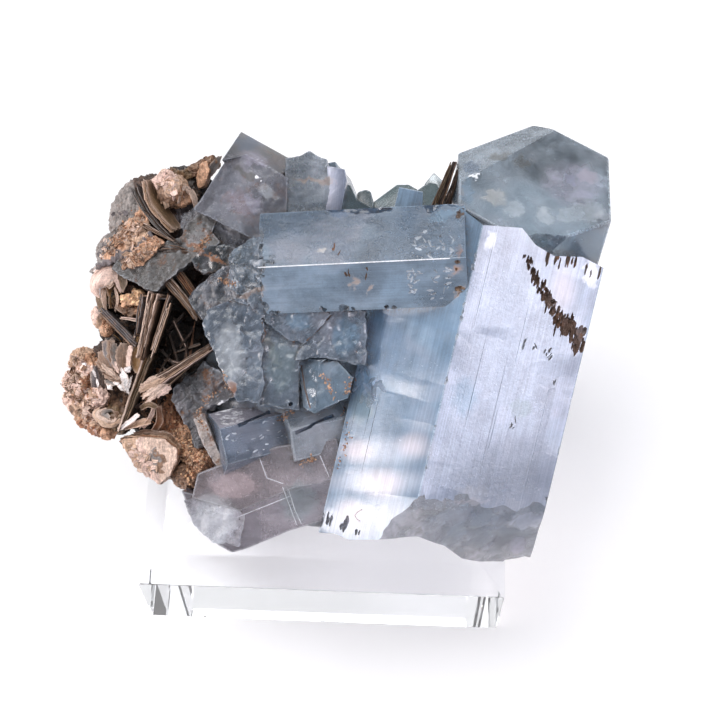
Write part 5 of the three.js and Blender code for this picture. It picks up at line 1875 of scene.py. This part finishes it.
# Where they lie: each place's middle on the display side, its half widths, its turn and its colour.
PLACES = [
    ((22.4, 35.6), (1.9, 0.8), 20, "olive"), ((25.4, 34.8), (1.2, 1.1), 0, "olive"),
    ((18.6, 33.9), (1.2, 1.1), 0, "deep_blue"), ((18.8, 32.4), (0.5, 0.3), 20, "white"),
    ((18, 30.3), (0.8, 2.3), 0, "clear_blue"), ((32, 32.2), (4.1, 3.3), 0, "lilac"),
    ((34, 33.1), (1.5, 1), -20, "olive"), ((31.8, 32.7), (0.7, 1), 0, "deep_blue"),
    ((21.6, 29.6), (1.6, 1.2), 0, "cream"),
    ((33, 27.8), (3.3, 1.4), 10, "milk"), ((27.9, 27.2), (1.4, 1.1), 0, "milk"),
    ((34.1, 23.9), (3.3, 1.9), 0, "clear_blue"), ((26.8, 23.9), (1.6, 1.2), 0, "sea_grey"),
    # The pale and pink sheen places on the large prism's faces paint the light's reflection there.
    ((24, 27.9), (1.4, 1.2), 0, "milk"), ((4.6, -4.2), (2, 1.4), 0, "pink_sheen"),
    ((8.1, -8.2), (2.6, 1.9), 0, "pink_sheen"), ((4.4, -12.3), (2, 1.5), 0, "pink_sheen"),
    ((12, -3), (2.2, 1.6), 0, "pink_sheen"), ((8.5, -4), (7.6, 1.7), 4, "sheen"),
    ((7.6, -8.1), (7.8, 1.7), 4, "sheen"), ((5.6, -13), (6.2, 2.6), 4, "sheen"),
    # This large dark place paints shade on the lower right face.
    ((25, -9.5), (13, 8), 0, "right_face_shade"),
    # Pearl places paint the light's sheen.
    ((5, 1.3), (1.6, 2.1), 0, "sea_grey"), ((20.6, 23), (1, 1.4), 0, "pearl"),
    # The pink sheen and pearl places here paint the light's sheen.
    ((30.6, 17.6), (1.8, 3), 0, "pink_sheen"), ((34.3, 19.7), (1, 1.9), 0, "pearl"),
    ((18.1, 3.5), (1.9, 3), 0, "clear_blue"), ((25.6, 2), (1.8, 1.2), 0, "sea_grey"),
    ((19.6, -9.2), (2.1, 1.2), 0, "cream"), ((19.7, -10.2), (2.7, 0.3), 4, "tan"),
    ((26.5, -16.7), (1.4, 1.5), 0, "lilac"),
    # The pearl place paints the light's sheen.
    ((27.6, -12.9), (2.5, 1.2), 10, "pearl"), ((24.4, -11), (2.7, 0.8), 10, "cream"),
    ((16.6, 21.4), (0.5, 1), 0, "rust"), ((16.4, 19.1), (0.8, 0.8), 0, "amber"),
    ((16.8, 16.7), (0.3, 1.5), -30, "tan"), ((3.7, 17.3), (0.6, 1), 0, "tan"),
    ((5.8, 16.6), (0.3, 1.1), -30, "tan"), ((-0.4, 21.2), (0.8, 0.5), 20, "cream"),
    ((14.8, 26.2), (2.5, 0.8), 20, "clear_blue"),
    ((1.5, 26.2), (1.6, 0.5), 0, "deep_blue"), ((-11.6, 35.8), (1.5, 1.1), 0, "deep_blue"),
    ((-7.7, 35.3), (1.9, 1.6), -30, "olive"), ((-11, 31.3), (1.8, 0.6), -30, "olive"),
    ((-8.2, 29.1), (1.5, 0.9), -30, "milk"), ((-10.1, 33.5), (1.9, 1.1), -20, "lilac"),
    ((-11.4, 27.6), (2.5, 1.5), -20, "lilac"),
    ((-2.1, 30.8), (2.7, 0.35), 0, "brown"), ((-9.6, 30.7), (0.4, 0.25), 20, "white"),
    ((-12, 8), (2, 4.6), 10, "milk"), ((-5.4, 6.4), (2, 3.6), 0, "sea_grey"),
    ((-6.6, 8.4), (0.6, 2.6), 20, "olive"),
    ((-3.4, 12.4), (1.6, 1.4), 0, "clear_blue"),
    ((-9.4, 15.6), (2.2, 0.5), 20, "brown"), ((2.6, 10.6), (1.8, 2.4), 0, "clear_blue"),
    ((-11.7, 3.4), (0.5, 1.2), 10, "rust"),
    ((-14.8, 20), (1.5, 0.35), -30, "rust"), ((-17.6, 21.6), (1.6, 0.4), -30, "rust"),
    ((-13.1, 0.8), (1.4, 0.7), 20, "white"),
    ((-14.1, -14.4), (3, 3.6), 0, "milk"),
    ((-11.4, -9.5), (3.3, 1.8), 0, "rose"), ((-2.9, -11.4), (2.5, 2.7), 0, "sea_grey"),
]


# Places that fade out softly and straight: the painted sheen and the painted shade. The others have ragged
# edges.
SOFT = ("sheen", "pink_sheen", "right_face_shade")


def included(n, place, colour, cloud):
    """Lays the inclusions, the painted sheen and the painted shade over a colour and a cloudiness."""
    moved = Matrix.Rotation(math.radians(-TILT), 3, "X") @ Vector((0, 0, -BASE_HEIGHT))
    flat = n.add("Mapping", inputs={
        "Vector": place, "Location": moved, "Rotation": (math.radians(-TILT), 0, 0),
    })
    ragged = n.add("TexNoise", output="Color", inputs={"Vector": flat, "Scale": 0.9, "Detail": 3.0})
    ragged = n.add("VectorMath", inputs={0: ragged, 1: (0.5, 0.5, 0.5)}, operation="SUBTRACT")
    strayed = n.add("VectorMath", inputs={0: ragged, 3: 2.4}, operation="SCALE")
    strayed = n.add("VectorMath", inputs={0: flat, 1: strayed}, operation="ADD")
    turned = {}
    for name, (tint, strength, cloudy) in INCLUSIONS.items():
        soft = name in SOFT
        nearest = 9.0
        for middle, (wide, tall), turn, kind in PLACES:
            if kind != name:
                continue
            angle = -math.radians(turn)
            if (turn, soft) not in turned:
                turned[turn, soft] = n.add("Mapping", inputs={
                    "Vector": flat if soft else strayed, "Rotation": (0, 0, angle),
                })
            x, y, z = Matrix.Rotation(angle, 3, "Z") @ Vector((*middle, 18))
            local = n.add("VectorMath", operation="MULTIPLY_ADD", inputs={
                0: turned[turn, soft], 1: (1 / wide, 1 / tall, 1 / 12), 2: (-x / wide, -y / tall, -z / 12),
            })
            reach = n.add("VectorMath", output="Value", inputs={0: local}, operation="LENGTH")
            nearest = n.math("MINIMUM", nearest, reach)
        share = n.ramp(nearest, *((0.3, 1.5) if soft else (0.7, 1.25)), strength, 0)
        colour = n.mix(share, colour, (*tint, 1))
        cloud = n.math("ADD", cloud, n.math("MULTIPLY", share, cloudy))
    return colour, cloud


def aquamarine():
    """Cloudy, grooved beryl. What differs from region to region comes from the mesh's attributes."""
    n = Nodes("aquamarine")
    place = n.in_mm()
    grain = n.attribute("grain", "Vector")
    finish = n.add("SeparateXYZ", inputs={0: n.attribute("finish", "Vector")}).node
    cloudy, rough, grooved = finish.outputs
    stripes = n.noise(n.mapped(grain, (4.2, 4.2, 0.035)), detail=3, roughness=0.6)
    bands = n.noise(n.mapped(grain, (1.4, 1.4, 0.01)), detail=3)
    across = n.noise(n.mapped(grain, (0.05, 0.05, 0.35)), detail=3)
    mottle = n.noise(place, 0.3, detail=6, roughness=0.68)
    veil = n.noise(n.mapped(grain, (0.22, 0.22, 0.1)), detail=3, roughness=0.6)
    specks = n.noise(place, 2.2, detail=4, roughness=0.72)
    flecks = n.ramp(n.noise(place, 1.6, detail=5, roughness=0.8), 0.64, 0.76, 0, 0.7)
    stained = n.math("MULTIPLY", n.attribute("stain"), n.ramp(mottle, 0.42, 0.62))
    rust = n.ramp(stained, 0.2, 0.5)
    lines = n.math("MULTIPLY", n.ramp(stripes, 0.3, 0.7, -0.15, 0.15), grooved)
    slanted = n.mapped(place, (0.16, 0.16, 0.16), (20, 35, 10))
    planes = n.add("TexVoronoi", output="Color", inputs={"Vector": slanted})
    plane = n.ramp(n.add("SeparateXYZ", inputs={0: planes}), 0, 1, -0.09, 0.09)
    frost = n.noise(place, 4.5, detail=4, roughness=0.75)
    rubbed = n.ramp(rough, 0.1, 0.4, 0.07, 0.3)
    frosting = n.math("MULTIPLY", n.ramp(frost, 0.3, 0.7, -1, 1), rubbed)
    shade = n.math("ADD", n.ramp(mottle, 0.3, 0.7, 0.84, 1.12), frosting)
    shade = n.math("ADD", shade, n.math("MULTIPLY", plane, n.math("SUBTRACT", 1.0, grooved)))
    colour = n.add("VectorMath", inputs={0: n.attribute("tint", "Color"), 3: shade}, operation="SCALE")
    hue = n.ramp(n.noise(n.mapped(grain, (0.12, 0.12, 0.2)), detail=2), 0.4, 0.6)
    milk = n.mix(hue, (0.5, 0.62, 0.74, 1), (0.66, 0.6, 0.66, 1))
    colour = n.mix(n.ramp(veil, 0.45, 0.7, 0, 0.2), colour, milk)
    colour = n.mix(flecks, colour, (0.75, 0.78, 0.84, 1))
    cloud = n.math("ADD", cloudy, n.ramp(veil, 0.35, 0.7, -0.12, 0.16))
    cloud = n.math("ADD", cloud, n.math("MULTIPLY", flecks, 0.5))
    colour, cloud = included(n, place, colour, cloud)
    colour = n.add("VectorMath", inputs={0: colour, 3: n.math("ADD", 1.0, lines)}, operation="SCALE")
    # Pale specks on the rough zones: painted glints.
    painted_glints = n.math("MULTIPLY", n.ramp(frost, 0.6, 0.7), n.math("MULTIPLY", rubbed, 1.2))
    colour = n.mix(painted_glints, colour, (0.78, 0.8, 0.84, 1))
    colour = n.mix(rust, colour, (0.2, 0.09, 0.045, 1))
    # Dark brown where the surface is hemmed in, in seams and crevices: brown dust and painted shade.
    corner = n.add("AmbientOcclusion", output="AO", inputs={"Distance": 1.3 * MM}, samples=1, only_local=True)
    dust_and_shade = n.math("MULTIPLY", n.ramp(corner, 0.35, 0.8, 1, 0), n.ramp(specks, 0.38, 0.58, 0.15, 0.8))
    colour = n.mix(dust_and_shade, colour, (0.17, 0.12, 0.085, 1))
    cloud = n.math("MAXIMUM", cloud, n.math("MAXIMUM", rust, dust_and_shade), clamp=True)
    roughness = n.math("ADD", rough, n.ramp(specks, 0.3, 0.7, -0.04, 0.08))
    roughness = n.math("ADD", roughness, n.ramp(across, 0.45, 0.65, 0, 0.08), clamp=True)
    n.set(
        Base_Color=colour,
        Roughness=roughness,
        Transmission_Weight=n.math("SUBTRACT", 1.0, cloud, clamp=True),
        IOR=BERYL_IOR,
    )
    height = n.math("ADD", n.math("MULTIPLY", stripes, 0.4), n.math("MULTIPLY", bands, 0.14))
    along = n.bump(n.math("MULTIPLY", height, grooved), 0.5, 0.05)
    broken = n.math("MULTIPLY", mottle, n.ramp(rough, 0.12, 0.3, 0.3, 4))
    broken = n.math("ADD", broken, n.math("MULTIPLY", frost, 0.5))
    etched = n.bump(n.math("ADD", specks, broken), n.ramp(rough, 0.1, 0.3, 0.1, 0.9), 0.14, along)
    n.set(Normal=etched)
    absorption = n.add("VolumeAbsorption", inputs={"Color": (0.3, 0.5, 0.62, 1), "Density": 26.0})
    n.put(n.output.inputs["Volume"], absorption)
    return n.material


def clear_acrylic():
    n = Nodes("clear_acrylic")
    place = n.in_mm()
    scratches = n.noise(n.mapped(place, (0.4, 6, 6), (0, 0, 20)), detail=3)
    n.set(
        Base_Color=(0.97, 0.98, 0.99, 1),
        Roughness=n.ramp(scratches, 0.5, 0.8, 0.01, 0.06),
        Transmission_Weight=1.0,
        IOR=ACRYLIC_IOR,
    )
    absorption = n.add("VolumeAbsorption", inputs={"Color": (0.9, 0.95, 0.97, 1), "Density": 4.0})
    n.put(n.output.inputs["Volume"], absorption)
    return n.material


def mica(name):
    """Leafy mica and its crumbs. Tone, grain and shine come from the mesh."""
    n = Nodes(name)
    place = n.in_mm()
    grain = n.attribute("grain", "Vector")
    shine = n.attribute("shine")
    streaks = n.noise(n.mapped(grain, (5, 0.45, 1.5)), detail=5, roughness=0.7)
    blotches = n.noise(place, 1.1, detail=5, roughness=0.7)
    dust = n.noise(place, 5, detail=3, roughness=0.8)
    shade = n.math("ADD", n.ramp(streaks, 0.3, 0.7, 0.6, 1.35), n.ramp(dust, 0.3, 0.7, -0.25, 0.25))
    colour = n.add("VectorMath", inputs={0: n.attribute("tone", "Color"), 3: shade}, operation="SCALE")
    brown = n.math("MULTIPLY", n.ramp(blotches, 0.52, 0.68, 0, 0.55), n.ramp(shine, 0.5, 0.9, 1, 0.2))
    colour = n.mix(brown, colour, (0.2, 0.1, 0.055, 1))
    colour = n.mix(n.ramp(dust, 0.6, 0.72, 0, 0.45), colour, (0.7, 0.56, 0.47, 1))
    n.set(
        Base_Color=colour,
        Roughness=n.math("SUBTRACT", n.ramp(dust, 0.3, 0.7, 0.55, 0.8), n.math("MULTIPLY", shine, 0.38)),
        IOR=MICA_IOR,
        Coat_Weight=0.2,
        Coat_Roughness=0.25,
    )
    leaves = n.bump(streaks, 0.6, 0.12)
    n.set(Normal=n.bump(dust, 0.5, 0.1, leaves))
    return n.material


# ------------------------------------------------------------------ finished pieces


def seated_piece(piece, material, slot, *nodes):
    """Tilts a finished piece onto the base, in metres, and hands it to the frame."""
    settle(piece, SPECIMEN)
    piece.data.materials.append(material)
    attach(piece, "root")
    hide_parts(*nodes)
    return piece


def seat_mica(piece, material, slot, node):
    only(piece)
    bpy.ops.object.shade_smooth_by_angle(angle=math.radians(35))
    seated_piece(piece, material, slot, node)


cluster = beryl_cluster()
write_finishes(cluster)
matrix_piece = brown_matrix(cluster)
only(cluster)
bpy.ops.object.shade_smooth_by_angle(angle=math.radians(24))
seated_piece(cluster, aquamarine(), "aquamarine", "aquamarine_cluster")
BROWN_MICA = mica("brown_mica")
PALE_MICA = mica("pale_mica")
seat_mica(matrix_piece, mica("brown_crumbs"), "matrix", "brown_matrix")
seat_mica(upper_mica(), BROWN_MICA, "mica_brown", "mica_upper_books")
seat_mica(curved_book(), PALE_MICA, "mica_brown", "mica_curved_book")
seat_mica(lower_mica(), BROWN_MICA, "mica_brown", "mica_lower_books")
seat_mica(upright_blade(), PALE_MICA, "mica_pale", "mica_upright_blade")
seat_mica(long_blade(), PALE_MICA, "mica_pale", "mica_long_blade")
seat_mica(rusty_plates(), BROWN_MICA, "mica_brown", "mica_rusty_plates")
seat_mica(hexagonal_book(), PALE_MICA, "mica_pale", "mica_hexagonal_book")
seat_mica(top_book(), BROWN_MICA, "mica_brown", "mica_top_book")

for kind in CRUMBS + FLAKES:
    bpy.data.objects.remove(kind)

BASE_SIDE = 50.8
BASE_BEVEL = 3.4


def display_base():
    """A clear square block whose top edges are cut back at 45 degrees."""
    half = BASE_SIDE / 2
    bpy.ops.mesh.primitive_cube_add(size=BASE_SIDE, location=(0, 0, half))
    piece = added("clear_display_base")
    only(piece)
    bpy.ops.object.mode_set(mode="EDIT")
    bisect_off((0, 0, BASE_HEIGHT), (0, 0, 1))
    for x, y in ((1, 0), (-1, 0), (0, 1), (0, -1)):
        bisect_off((half * x, half * y, BASE_HEIGHT - BASE_BEVEL), Vector((x, y, 1)))
    bpy.ops.object.mode_set(mode="OBJECT")
    bevel_edges(piece, 0.25)
    settle(piece, Matrix.Scale(MM, 4))
    return piece


base = display_base()
base.data.materials.append(clear_acrylic())
base.visible_shadow = False
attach(base, "root")
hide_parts("acrylic_base")
